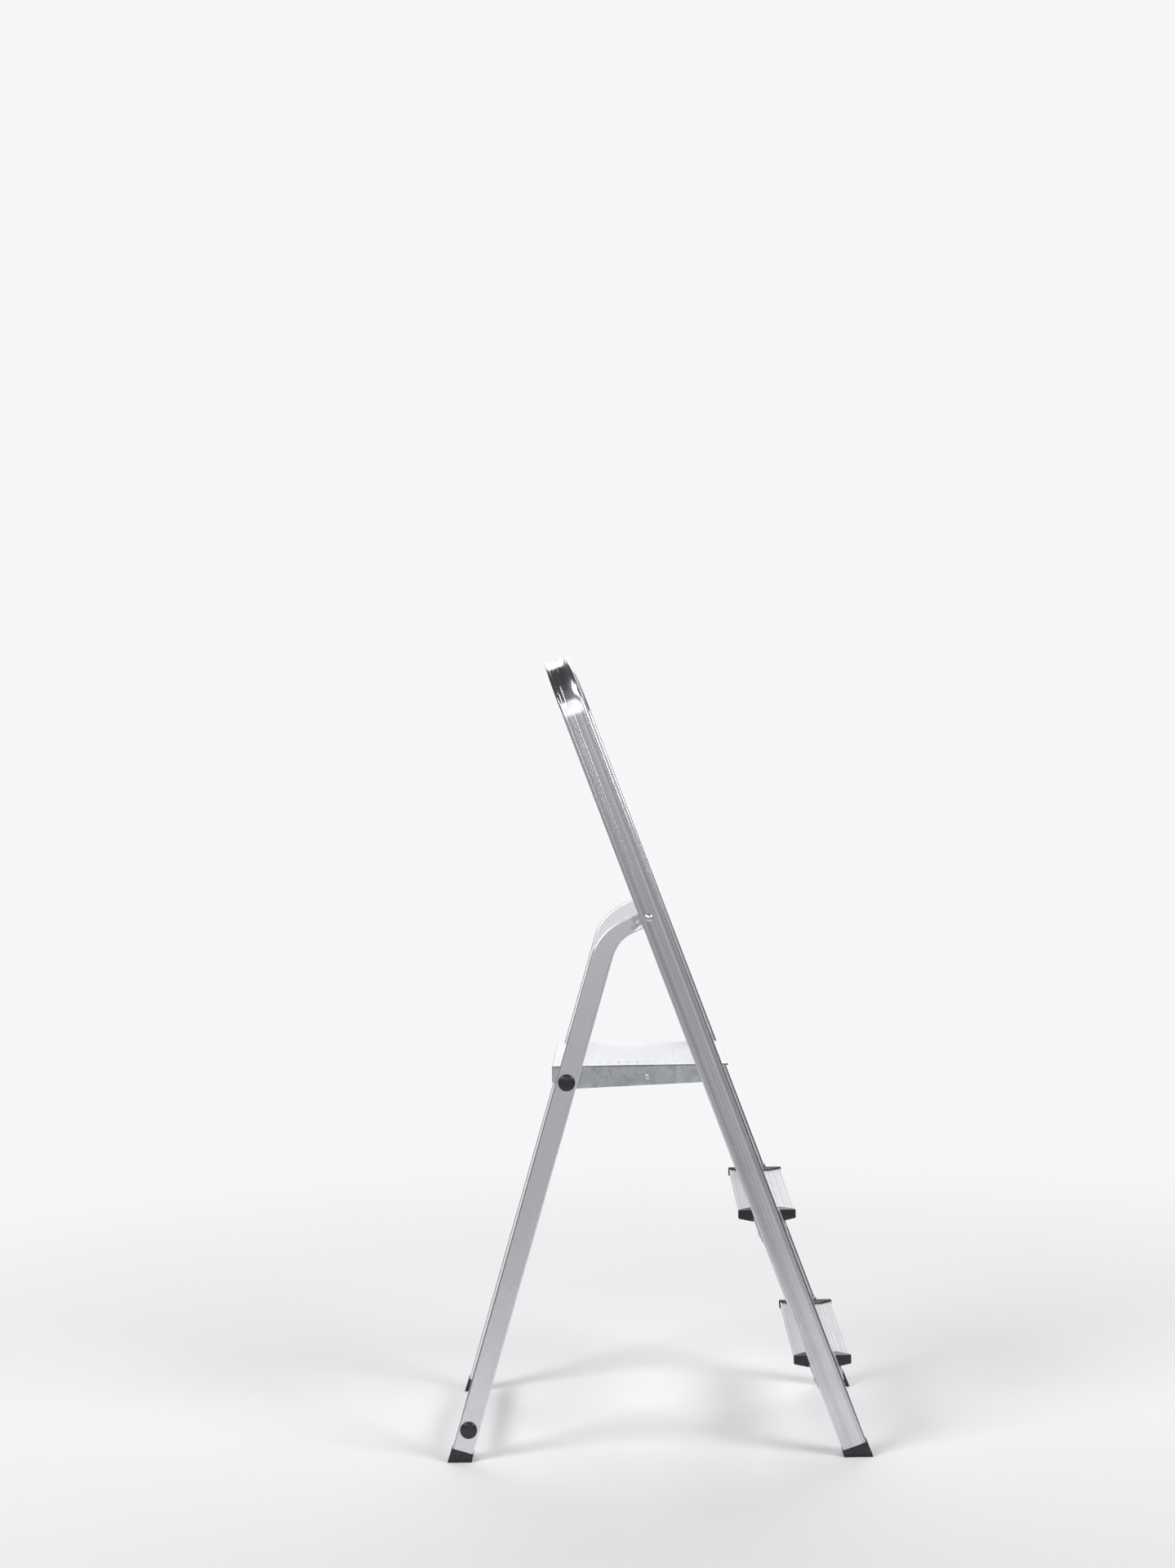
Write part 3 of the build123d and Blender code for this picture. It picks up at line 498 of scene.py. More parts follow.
def make_black_plastic():
    """Moulded black plastic with a fine spark-eroded grain, worn patches and scuffs."""
    material, tree, shader = new_material("black plastic")
    where = add(tree, "ShaderNodeTexCoord").outputs["Object"]
    grain = noise(tree, where, 2600.0, 2.0, 0.6)
    wear = levels(tree, noise(tree, where, 55.0, 5.0, 0.65), 0.55, 0.8)
    scuffs = levels(tree, noise(tree, stretched(tree, where, (900, 160, 900)), 1.0, 2.0), 0.66, 0.78)
    colour = blend_colours(tree, grain, (0.012, 0.012, 0.014), (0.022, 0.021, 0.024))
    colour = lay_over(tree, colour, wear, 0.35, (0.06, 0.06, 0.062))
    colour = lay_over(tree, colour, scuffs, 0.25, (0.11, 0.11, 0.11))
    link(tree, colour, shader.inputs["Base Color"])
    value = plus(tree, 0.20, wear, 0.22)
    value = plus(tree, value, grain, 0.10, clamp=True)
    link(tree, value, shader.inputs["Roughness"])
    bump(tree, shader, grain, 0.05 * MM, 0.5)
    return material


finishes = {
    "frame_aluminium": frame_aluminium,
    "leg_aluminium": leg_aluminium,
    "tread_aluminium": tread_aluminium,
    "galvanised_steel": make_galvanised(),
    "bracket_steel": bracket_steel,
    "rivet_steel": rivet_steel,
    "black_plastic": make_black_plastic(),
}
for subpart in frame["record"]["subparts"]:
    mesh = nodes[subpart["node"]].data
    mesh.materials.clear()
    mesh.materials.append(finishes[subpart["material_slot"]])

# ---- modelling tools ----------------------------------------------------------------------------------
def start(name):
    """Names the primitive just added and opens it in edit mode."""
    piece = bpy.context.active_object
    piece.name = piece.data.name = name
    bpy.ops.object.transform_apply(location=True, rotation=True, scale=True)
    bpy.ops.object.mode_set(mode="EDIT")
    bpy.ops.mesh.select_all(action="SELECT")
    return piece


def clear_selection():
    bpy.ops.object.select_all(action="DESELECT")


def pick(piece, test, kind="FACE"):
    """Selects the faces or the corners that pass the test; a face gives its middle and its normal."""
    bpy.ops.mesh.select_mode(type=kind)
    bpy.ops.mesh.select_all(action="DESELECT")
    mesh = bmesh.from_edit_mesh(piece.data)
    if kind == "FACE":
        for face in mesh.faces:
            face.select_set(test(face.calc_center_median(), face.normal))
    else:
        for corner in mesh.verts:
            corner.select_set(test(corner.co))
    mesh.select_flush_mode()
    bmesh.update_edit_mesh(piece.data)


def move(x=0.0, y=0.0, z=0.0):
    bpy.ops.transform.translate(value=(x, y, z))


def push(x=0.0, y=0.0, z=0.0):
    """Extrudes the selection by a distance."""
    bpy.ops.mesh.extrude_region_move(TRANSFORM_OT_translate={"value": (x, y, z)})


def cut(place, normal):
    """Cuts the whole mesh with a plane and keeps both sides."""
    bpy.ops.mesh.select_all(action="SELECT")
    bpy.ops.mesh.bisect(plane_co=place, plane_no=normal)


def modify(piece, kind, **settings):
    """Adds a modifier and applies it."""
    modifier = piece.modifiers.new(kind.lower(), kind)
    for name, value in settings.items():
        setattr(modifier, name, value)
    bpy.context.view_layer.objects.active = piece
    bpy.ops.object.modifier_apply(modifier=modifier.name)


def settle(piece, place, smooth):
    """Leaves edit mode, puts the piece in its place for good, and shades it smooth up to an angle."""
    if bpy.context.mode != "OBJECT":
        bpy.ops.object.mode_set(mode="OBJECT")
    clear_selection()
    piece.select_set(True)
    bpy.context.view_layer.objects.active = piece
    piece.matrix_world = place
    bpy.ops.object.transform_apply(location=True, rotation=True, scale=True)
    bpy.ops.object.shade_smooth_by_angle(angle=math.radians(smooth))
    return piece


def eased(share):
    """A share held in 0..1 that starts and ends gently."""
    share = min(1.0, max(0.0, share))
    return share * share * (3 - 2 * share)


def signed_volume(mesh):
    """The volume inside a mesh, negative when its faces look inwards."""
    mesh.calc_loop_triangles()
    total = 0.0
    for triangle in mesh.loop_triangles:
        a, b, c = (mesh.vertices[index].co for index in triangle.vertices)
        total += a.dot(b.cross(c)) / 6
    return total


def mirrored_copy(piece, name):
    """A copy with its own mesh, mirrored to the ladder's other side."""
    twin = piece.copy()
    twin.data = piece.data.copy()
    twin.name = twin.data.name = name
    bpy.context.scene.collection.objects.link(twin)
    twin.matrix_world = Matrix.Scale(-1, 4, Vector((0, 1, 0)))
    clear_selection()
    twin.select_set(True)
    bpy.context.view_layer.objects.active = twin
    bpy.ops.object.transform_apply(location=True, rotation=True, scale=True)
    bpy.ops.object.mode_set(mode="EDIT")
    bpy.ops.mesh.select_all(action="SELECT")
    if signed_volume(twin.data) * signed_volume(piece.data) < 0:
        bpy.ops.mesh.flip_normals()
    bpy.ops.object.mode_set(mode="OBJECT")
    clear_selection()
    return twin


def hand_over(piece, body, slot, *stands_for):
    """Gives a finished piece its finish and its body, and hides what it stands for."""
    piece.data.materials.clear()
    piece.data.materials.append(finishes[slot])
    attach(piece, body)
    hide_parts(*stands_for)


def axes(x_axis, y_axis, z_axis, origin):
    """A placement from three axes and an origin."""
    turn = Matrix((x_axis, y_axis, z_axis)).transposed().to_4x4()
    return Matrix.Translation(Vector(origin)) @ turn


clear_selection()

# ---- turned pieces: plugs, pins and rivets ------------------------------------------------------------
def turned_piece(name, rings, sides, place):
    """A round piece from (radius, height) rings, bottom to top, standing on the placement's z axis."""
    clear_selection()
    radius, height = rings[0]
    bpy.ops.mesh.primitive_circle_add(
        vertices=sides, radius=radius, fill_type="NGON", location=(0, 0, height)
    )
    piece = start(name)
    for next_radius, next_height in rings[1:]:
        push(z=next_height - height)
        bpy.ops.transform.resize(
            value=(next_radius / radius, next_radius / radius, 1), center_override=(0, 0, next_height)
        )
        radius, height = next_radius, next_height
    bpy.ops.mesh.select_all(action="SELECT")
    bpy.ops.mesh.normals_make_consistent(inside=False)
    return settle(piece, place, 40)


def dome(radius, base, height, flat, steps):
    """Rings of a crown that rises from its rim at a base height to a small flat top."""
    found = []
    for step in range(steps + 1):
        angle = math.pi / 2 * step / steps
        found.append((max(radius * math.cos(angle), flat), base + height * math.sin(angle)))
    return found


def outwards(sign, x, y, z):
    """A placement whose z axis points away from the ladder's middle on one side."""
    return axes(Vector((1, 0, 0)), Vector((0, 0, -sign)), Vector((0, sign, 0)), (x, sign * y, z))


def round_box(node):
    """The middle, the radius and the inner and outer end of a round CAD node that lies across the ladder."""
    low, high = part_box(node)
    inner, outer = sorted((abs(low.y), abs(high.y)))
    return (low + high) / 2, (high.x - low.x) / 2, inner, outer


PLUG_PROUD = 5.05 * MM      # the head's height over the leg
PLUG_FLANGE = 3.25 * MM     # how far the head reaches past the shank
for level in LEVELS:
    for side, sign in SIDES.items():
        node = f"{level}_tube_plug_{side}"
        middle, radius, _, tip = round_box(node)
        seat = tip - PLUG_PROUD
        shank = radius - PLUG_FLANGE
        rings = [
            (shank - 1.4 * MM, -18 * MM), (shank, -15 * MM), (shank, -10 * MM),
            (shank - 0.5 * MM, -9.6 * MM), (shank, -8.6 * MM), (shank, -0.02 * MM),
            (radius - 0.35 * MM, 0.0), (radius, 0.35 * MM), (radius, 1 * MM),
            (radius - 0.3 * MM, 1.5 * MM), (radius - 1 * MM, 1.7 * MM),
        ]
        rings += dome(radius - 1.2 * MM, 1.8 * MM, 3.2 * MM, 0.6 * MM, 8)
        plug = turned_piece(f"{level}_plug_{side}", rings, 56, outwards(sign, middle.x, seat, middle.z))
        hand_over(plug, "rear", "black_plastic", node)

PIN_HEAD = 3.2 * MM
PIN_RADIUS = 4 * MM
for side, sign in SIDES.items():
    node = f"pivot_rivet_{side}"
    middle, radius, inner, outer = round_box(node)
    rim = -PIN_HEAD
    tail = inner - outer
    rings = [
        (2.2 * MM, tail + 0.4 * MM), (3.4 * MM, tail), (radius - 1.2 * MM, tail + 0.3 * MM),
        (radius - 0.2 * MM, tail + 1.6 * MM), (radius, tail + 2.2 * MM), (radius, tail + 2.4 * MM),
        (PIN_RADIUS, tail + 2.41 * MM), (PIN_RADIUS, rim - 0.01 * MM), (radius - 0.4 * MM, rim),
        (radius, rim + 0.3 * MM),
    ]
    rings += dome(radius - 0.15 * MM, rim + 0.5 * MM, -rim - 0.5 * MM, 0.4 * MM, 9)
    rivet = turned_piece(f"pivot_pin_{side}", rings, 40, outwards(sign, middle.x, outer, middle.z))
    hand_over(rivet, "front", "rivet_steel", node)


RIVET_HEAD_HEIGHT = 1.6 * MM


def blind_rivet(name, head, shank, length, place):
    """A blind rivet, by its head's and shank's radius, with a hole where its mandrel broke off."""
    rings = [
        (shank * 0.7, -length - 0.8 * MM), (shank * 1.25, -length), (shank * 1.25, -length + 1.6 * MM),
        (shank, -length + 2.2 * MM), (shank, -0.01 * MM), (head - 0.2 * MM, 0.0), (head, 0.25 * MM),
        (head - 0.15 * MM, 0.55 * MM), (head * 0.8, 1.05 * MM), (head * 0.55, 1.45 * MM),
        (head * 0.36, RIVET_HEAD_HEIGHT), (head * 0.29, 1.5 * MM), (head * 0.27, 0.5 * MM),
    ]
    return turned_piece(name, rings, 24, place)


def join(pieces, name):
    """One object from several."""
    clear_selection()
    for piece in pieces:
        piece.select_set(True)
    bpy.context.view_layer.objects.active = pieces[0]
    bpy.ops.object.join()
    pieces[0].name = pieces[0].data.name = name
    return pieces[0]


low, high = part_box("platform_rivets")
middle = (low + high) / 2
seat = high.y - RIVET_HEAD_HEIGHT
made = []
for sign in SIDES.values():
    place = outwards(sign, middle.x, seat, middle.z)
    made.append(blind_rivet("flange_rivet", head=4.4 * MM, shank=2 * MM, length=6 * MM, place=place))
hand_over(join(made, "flange_rivets"), "platform", "rivet_steel", "platform_rivets")

# ---- front frame: one bent, drawn tube ----------------------------------------------------------------
stile_place = axes(Vector((0, 1, 0)), stile_up, stile_face, stile_foot)
FOOT_TOP_LENGTH = 17.5 * MM     # along a tube, from the floor to its sawn end
FRAME_WALL = 2 * MM
HOOP_SINK = 2.6 * MM            # how far the bend's outer wall is drawn in
stile_line = half_frame - STILE_THICK / 2
bend_start = HOOP_TOP_LENGTH - STILE_THICK / 2 - HOOP_BEND_RADIUS
# (middle, width, depth) in mm of the grooves that the die leaves in the outer face; a ridge has a
# negative depth
stile_grooves = (
    (-18.2, 1.0, 0.25), (-14.0, 1.7, 0.6), (-8.4, 1.7, 0.6), (-5.6, 0.8, 0.35), (-2.6, 1.1, -0.35),
    (13.6, 0.9, 0.35), (15.4, 1.4, 0.6),
)

clear_selection()
bpy.ops.mesh.primitive_plane_add(size=1, rotation=(math.pi / 2, 0, 0))
bent_frame = start("bent_frame")
bpy.ops.transform.resize(value=(STILE_THICK, 1, STILE_DEPTH))
move(-stile_line, FOOT_TOP_LENGTH)
bpy.ops.mesh.bevel(offset=3.6 * MM, segments=5, affect="VERTICES")
for middle_z, width, _ in stile_grooves:
    for edge in (-width / 2 - 0.25, -width / 2, width / 2, width / 2 + 0.25):
        cut((0, 0, (middle_z + edge) * MM), (0, 0, 1))
for middle_z in (-12, -6, 0, 5, 9.5, 12):
    cut((0, 0, middle_z * MM), (0, 0, 1))
face_x = -half_frame
for middle_z, width, depth in stile_grooves:
    reach = (width / 2 + 0.05) * MM
    pick(bent_frame, lambda at: at.x < face_x + 0.02 * MM and abs(at.z - middle_z * MM) < reach, "VERT")
    move(x=depth * MM)
# the shallow channel of the inner face
pick(bent_frame, lambda at: at.x > face_x + STILE_THICK - 0.1 * MM and abs(at.z) < 10 * MM, "VERT")
move(x=-0.6 * MM)
bpy.ops.mesh.select_mode(type="FACE")
bpy.ops.mesh.select_all(action="SELECT")
for rise in (bend_start - FOOT_TOP_LENGTH - 30 * MM, 10 * MM, 10 * MM, 10 * MM):
    push(y=rise)
bend_at = Vector((-stile_line + HOOP_BEND_RADIUS, bend_start, 0))
bpy.ops.mesh.spin(steps=28, angle=math.pi / 2, center=bend_at, axis=(0, 0, 1))
for run in (10 * MM, 10 * MM, 15 * MM, stile_line - HOOP_BEND_RADIUS - 35 * MM):
    push(x=run)
bpy.ops.mesh.delete(type="FACE")
pick(bent_frame, lambda at, normal: at.y < FOOT_TOP_LENGTH + 0.1 * MM and abs(normal.y) > 0.9)
bpy.ops.mesh.delete(type="FACE")
bpy.ops.mesh.select_all(action="SELECT")
bpy.ops.mesh.remove_doubles(threshold=0.01 * MM)
bpy.ops.mesh.normals_make_consistent(inside=False)
bpy.ops.object.mode_set(mode="OBJECT")
# bending draws the outer wall in between its two corners and ripples the inner wall a little
WALL_REACH = 11 * MM     # from the tube's middle line, past which a corner is on one of these two walls
for corner in bent_frame.data.vertices:
    arm = Vector((corner.co.x - bend_at.x, corner.co.y - bend_at.y, 0))
    past_start = arm.y / HOOP_BEND_RADIUS
    past_end = arm.x / HOOP_BEND_RADIUS
    if past_start < 0 or past_end > 0.5:
        continue
    depth = eased((past_start - 0.05) / 0.55) * eased((0.5 - past_end) / 0.6)
    across = min(1.0, abs(corner.co.z) / (17 * MM))
    hollow = (1 - across ** 4) * depth
    outward = Vector((min(arm.x, 0), max(arm.y, 0), 0))
    distance = outward.length
    if distance < 0.001 * MM:
        continue
    outward /= distance
    if distance > HOOP_BEND_RADIUS + WALL_REACH:
        corner.co -= outward * hollow * HOOP_SINK
    elif distance < HOOP_BEND_RADIUS - WALL_REACH:
        turn = math.atan2(max(arm.y, 0), max(-arm.x, 1e-9))
        ripple = 0.25 * math.sin(turn * 26) * math.sin(2 * turn)
        corner.co += outward * hollow * (0.5 + ripple) * MM
modify(bent_frame, "MIRROR", use_clip=True, merge_threshold=0.1 * MM)
modify(bent_frame, "SOLIDIFY", thickness=FRAME_WALL, offset=-1, use_even_offset=False)
settle(bent_frame, stile_place, 28)
hand_over(bent_frame, "front", "frame_aluminium", "front_frame")

# ---- strap rivets, in the stiles' front and rear faces ------------------------------------------------
STRAP_RIVET_INSET = 17 * MM       # in from the stile's outer face
STRAP_RIVET_DROP = 13.75 * MM     # under the tread
STRAP_OUT = 2.15 * MM             # the strap's outer face over the stile
made = []
for level in LEVELS:
    rise = (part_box(f"{level}_tread")[0].z - STRAP_RIVET_DROP) / math.cos(FRONT_LEAN)
    for sign in SIDES.values():
        for facing in (-1, 1):
            seat = stile_foot + stile_up * rise + Vector((0, sign * (half_frame - STRAP_RIVET_INSET), 0))
            seat += stile_face * facing * (STILE_DEPTH / 2 + STRAP_OUT)
            place = axes(Vector((0, 1, 0)), stile_up * facing, stile_face * facing, seat)
            made.append(blind_rivet(
                "strap_rivet", head=4.6 * MM, shank=2.4 * MM, length=5.2 * MM, place=place
            ))
hand_over(join(made, "strap_rivets"), "front", "rivet_steel", "bracket_rivets")

# ---- rear legs: bent tube, pressed flatter and rounded off at the pivot -------------------------------
LEG_DEPTH = 33.7 * MM
LEG_WALL = 1.6 * MM
LEG_END_DEPTH = 26.7 * MM
leg_plane = axes(
    Vector((1, 0, 0)),
    Vector((0, math.sin(FLARE), math.cos(FLARE))),
    Vector((0, -math.cos(FLARE), math.sin(FLARE))),
    (0, -half_frame, 0),
)


def flat(direction):
    """A side view direction or place as a direction or place in the leg's own plane."""
    return Vector((direction.x, direction.z, 0))


rise, reach = flat(leg_up), flat(leg_reach)
bend_middle = flat(leg_bend_centre())
bend_turn = math.acos(rise.dot(reach))
foot_end = Vector((LEG_FLOOR_X, 0, 0)) + rise * FOOT_TOP_LENGTH
to_bend = (bend_middle - foot_end).dot(rise)
end_start = bend_middle + Vector((-reach.y, reach.x, 0)) * LEG_BEND_RADIUS
to_pivot = (flat(pivot) - end_start).dot(reach)

clear_selection()
bpy.ops.mesh.primitive_plane_add(size=1, rotation=(math.pi / 2, 0, 0))
leg = start("bent_leg_left")
bpy.ops.transform.resize(value=(LEG_DEPTH, 1, LEG_THICK))
bpy.ops.mesh.bevel(offset=2.8 * MM, segments=5, affect="VERTICES")
for across in (-12, -8, -4, 0, 4, 8, 12):
    cut((across * MM, 0, 0), (1, 0, 0))
for across in (-5, 0, 5):
    cut((0, 0, across * MM), (0, 0, 1))
bpy.ops.mesh.select_all(action="SELECT")
bpy.ops.object.mode_set(mode="OBJECT")
clear_selection()
leg.select_set(True)
leg_middle = foot_end - Vector((0, 0, LEG_THICK / 2))
leg.matrix_world = axes(Vector((rise.y, -rise.x, 0)), rise, Vector((0, 0, 1)), leg_middle)
bpy.ops.object.transform_apply(location=True, rotation=True, scale=True)
bpy.ops.object.mode_set(mode="EDIT")
bpy.ops.mesh.select_mode(type="FACE")
bpy.ops.mesh.select_all(action="SELECT")
for share in (0.94, 0.03, 0.03):
    push(*(rise * to_bend * share))
bpy.ops.mesh.spin(steps=18, angle=bend_turn, center=bend_middle, axis=(0, 0, 1))
END_STEPS = 12
NOSE_STEPS = 8
for _ in range(END_STEPS):
    push(*(reach * to_pivot / END_STEPS))
for _ in range(NOSE_STEPS):
    push(*(reach * LEG_END_DEPTH / 2 / NOSE_STEPS))
pick(leg, lambda at, normal: at.y < foot_end.y + 8 * MM and normal.dot(rise) < -0.9)
bpy.ops.mesh.delete(type="FACE")
bpy.ops.mesh.select_all(action="SELECT")
bpy.ops.mesh.remove_doubles(threshold=0.01 * MM)
bpy.ops.mesh.normals_make_consistent(inside=False)
bpy.ops.object.mode_set(mode="OBJECT")
across_end = Vector((-reach.y, reach.x, 0))
across_leg = Vector((-rise.y, rise.x, 0))
pivot_at = flat(pivot)


# (place along the end from the pivot, place across it, size, depth) in mm of the press's dents
press_dents = ((-20, -7, 3.4, 2.0), (-28, -8.5, 3.6, 1.4), (-13, -5, 3.2, 1.5), (-20, 2.5, 5, 1.3))


def pressed(place):
    """How deep the outer face is pressed in at a place of the leg's end, in metres."""
    along = (place - pivot_at).dot(reach) / MM
    over = (place - pivot_at).dot(across_end) / MM
    depth = 0.9 * eased((along + 34) / 22)
    for dent_along, dent_over, size, most in press_dents:
        gone = ((along - dent_along) ** 2 + (over - dent_over) ** 2) / size ** 2
        depth += most * math.exp(-gone)
    return depth * MM


# the tube narrows through the bend, ends in a round nose, and its outer face is pressed in there
PRESS_START = 5 * MM - LEG_THICK / 2     # the part of the section that the press reaches
for corner in leg.data.vertices:
    arm = Vector((corner.co.x, corner.co.y, 0)) - bend_middle
    turned_by = math.atan2(arm.dot(rise), arm.dot(across_leg))
    beyond = (Vector((corner.co.x, corner.co.y, 0)) - pivot_at).dot(reach)
    narrow = 1 - eased(turned_by / bend_turn) * (1 - LEG_END_DEPTH / LEG_DEPTH)
    if beyond > 0:
        narrow *= math.sqrt(max(0.0, 1 - (beyond / (LEG_END_DEPTH / 2 + 0.05 * MM)) ** 2))
    if arm.dot(rise) <= 0:
        continue
    if arm.dot(reach) > 0 and turned_by >= bend_turn - 0.01:
        outward, centre_line = across_end, (arm.dot(across_end) - LEG_BEND_RADIUS)
    else:
        outward, centre_line = arm.normalized(), arm.length - LEG_BEND_RADIUS
    corner.co -= outward * centre_line * (1 - narrow)
    if corner.co.z > PRESS_START:
        share = min(1.0, (corner.co.z - PRESS_START) / (4 * MM))
        corner.co.z -= pressed(Vector((corner.co.x, corner.co.y, 0))) * share
modify(leg, "SUBSURF", levels=1, render_levels=1, subdivision_type="SIMPLE")
modify(leg, "SOLIDIFY", thickness=LEG_WALL, offset=-1, use_even_offset=False)
settle(leg, leg_plane, 32)
leg_right = mirrored_copy(leg, "bent_leg_right")
hand_over(leg, "rear", "leg_aluminium", "rear_leg_left")
hand_over(leg_right, "rear", "leg_aluminium", "rear_leg_right")

# ---- tread end caps -----------------------------------------------------------------------------------
CAP_OUTER = 187.7 * MM         # from the ladder's middle to a cap's outer face
CAP_WALL = 1.9 * MM
CAP_END_HEIGHT = 13.6 * MM     # at the front and rear ends
CAP_SLOPE_RUN = 22 * MM        # over which the lower edge drops to its middle height
CAP_LIP = 7.2 * MM
CAP_TONGUE = 18 * MM


def end_cap(name, tread):
    """The left cap of a tread: a side plate, a lip all round it and a tapering tongue over the top."""
    low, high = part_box(tread)
    length = high.x - low.x + 2 * CAP_WALL
    height = high.z - low.z + 2 * CAP_WALL
    middle = (low + high) / 2
    clear_selection()
    bpy.ops.mesh.primitive_plane_add(size=1, rotation=(math.pi / 2, 0, 0))
    cap = start(name)
    bpy.ops.transform.resize(value=(length, 1, height))
    top = height / 2
    for facing in (-1, 1):
        cut((facing * (length / 2 - CAP_SLOPE_RUN), 0, 0), (1, 0, 0))
    pick(cap, lambda at: abs(at.x) > length / 2 - 1 * MM and at.z < 0, "VERT")
    move(z=height - CAP_END_HEIGHT)
    pick(cap, lambda at: abs(at.x) > length / 2 - 1 * MM, "VERT")
    bpy.ops.mesh.bevel(offset=1.6 * MM, segments=3, affect="VERTICES")
    bpy.ops.mesh.select_mode(type="FACE")
    bpy.ops.mesh.select_all(action="SELECT")
    bpy.ops.mesh.dissolve_limited(angle_limit=0.02)
    bpy.ops.mesh.select_all(action="SELECT")
    push(y=CAP_WALL)
    # a ring inside the plate's edge grows into the lip
    bpy.ops.mesh.inset(thickness=CAP_WALL, depth=0)
    pick(cap, lambda at, normal: at.y > CAP_WALL - 0.01 * MM and (
        abs(at.x) > length / 2 - 3.4 * MM or at.z > top - 2 * MM or at.z < 7 * MM - top
    ) and not (abs(at.x) < 6 * MM and abs(at.z) < 4 * MM))
    push(y=CAP_LIP - CAP_WALL)
    # the tongue that tapers over the tread's top
    pick(cap, lambda at, normal: at.y > CAP_LIP - 0.01 * MM and at.z > top - 1.2 * MM
         and abs(normal.y) > 0.9)
    push(y=CAP_TONGUE)
    bpy.ops.transform.resize(
        value=(0.56, 1, 0.75), center_override=(0, CAP_LIP + CAP_TONGUE, top - 1.6 * MM)
    )
    # the spur behind the rear upper corner
    cut((0, 0, top - 3.2 * MM), (0, 0, 1))
    pick(cap, lambda at, normal: at.x < -length / 2 + 0.2 * MM and normal.x < -0.9
         and top - 3.3 * MM < at.z < top - 1 * MM)
    push(x=-1.8 * MM)
    move(z=-0.7 * MM)
    bpy.ops.mesh.select_all(action="SELECT")
    bpy.ops.mesh.normals_make_consistent(inside=False)
    bpy.ops.object.mode_set(mode="OBJECT")
    modify(cap, "BEVEL", width=0.55 * MM, segments=3, limit_method="ANGLE", angle_limit=math.radians(38))
    return settle(cap, Matrix.Translation((middle.x, -CAP_OUTER, middle.z)), 40)


for level in LEVELS:
    cap = end_cap(f"{level}_end_cap_left", f"{level}_tread")
    twin = mirrored_copy(cap, f"{level}_end_cap_right")
    hand_over(cap, "front", "black_plastic", f"{level}_tread_cap_left")
    hand_over(twin, "front", "black_plastic", f"{level}_tread_cap_right")

# ---- feet ---------------------------------------------------------------------------------------------
FOOT_PROUD = 1.3 * MM     # past the tube's faces
FOOT_BLOCK = 20 * MM      # the height of the block that a foot starts from
SOLE = 2.4 * MM
SOLE_GROOVES = [step * 4.6 * MM for step in range(-4, 5)]


def foot_block(name, ground, up, face, depth, thick, wall, upright):
    """A moulded foot: a wedge from the floor to the tube's square end, with ribbed hollows in its sides.

    ground is where the tube's middle line meets the floor, up runs along the tube, face across its depth,
    and upright is the placement that carries a tilt across the ladder.
    """
    half = depth / 2 + FOOT_PROUD
    clear_selection()
    bpy.ops.mesh.primitive_cube_add(size=1)
    foot = start(name)
    bpy.ops.transform.resize(value=(2 * half / face.x, thick + 2 * FOOT_PROUD, FOOT_BLOCK))
    move(z=FOOT_BLOCK / 2)
    for facing in (-1, 1):
        target = up * FOOT_TOP_LENGTH + face * facing * half
        start_x = facing * half / face.x
        pick(foot, lambda at: at.z > FOOT_BLOCK / 2 and at.x * facing > 0, "VERT")
        move(x=target.x - start_x, z=target.z - FOOT_BLOCK)
    cut((0, 0, SOLE), (0, 0, 1))
    # ribbed hollows in both sides
    for share in (-0.36, 0.02, 0.42):
        cut((share * half, 0, 0), (1, 0, 0))
    pick(foot, lambda at, normal: abs(normal.y) > 0.9 and at.z > SOLE)
    bpy.ops.mesh.inset(thickness=0.85 * MM, depth=-1.1 * MM, use_individual=True)
    # a hollow across the front and the rear end
    pick(foot, lambda at, normal: abs(normal.x) > 0.7 and SOLE < at.z and abs(at.y) < 2 * MM)
    bpy.ops.mesh.inset(thickness=1.8 * MM, depth=-0.5 * MM)
    # the sole stands out a little
    pick(foot, lambda at, normal: at.z < SOLE and abs(normal.z) < 0.5)
    push()
    bpy.ops.transform.shrink_fatten(value=0.45 * MM)
    # the plug that holds the foot in the tube
    pick(foot, lambda at, normal: normal.dot(up) > 0.95 and at.z > 12 * MM)
    bpy.ops.mesh.inset(thickness=wall + FOOT_PROUD + 0.35 * MM, depth=0)
    push(*(up * 12 * MM))
    push(*(up * 5 * MM))
    bpy.ops.transform.resize(value=(0.9, 0.9, 0.9))
    # grooves across the sole
    for groove in SOLE_GROOVES:
        for edge in (-0.9 * MM, 0.9 * MM):
            cut((groove + edge, 0, 0), (1, 0, 0))
    pick(foot, lambda at, normal: normal.z < -0.9 and at.z < 0.1 * MM and any(
        abs(at.x - groove) < 0.6 * MM for groove in SOLE_GROOVES
    ))
    bpy.ops.mesh.inset(thickness=0.3 * MM, depth=-0.9 * MM)
    bpy.ops.mesh.select_all(action="SELECT")
    bpy.ops.mesh.normals_make_consistent(inside=False)
    bpy.ops.object.mode_set(mode="OBJECT")
    modify(foot, "BEVEL", width=0.4 * MM, segments=2, limit_method="ANGLE", angle_limit=math.radians(40))
    return settle(foot, Matrix.Translation(ground) @ upright, 40)


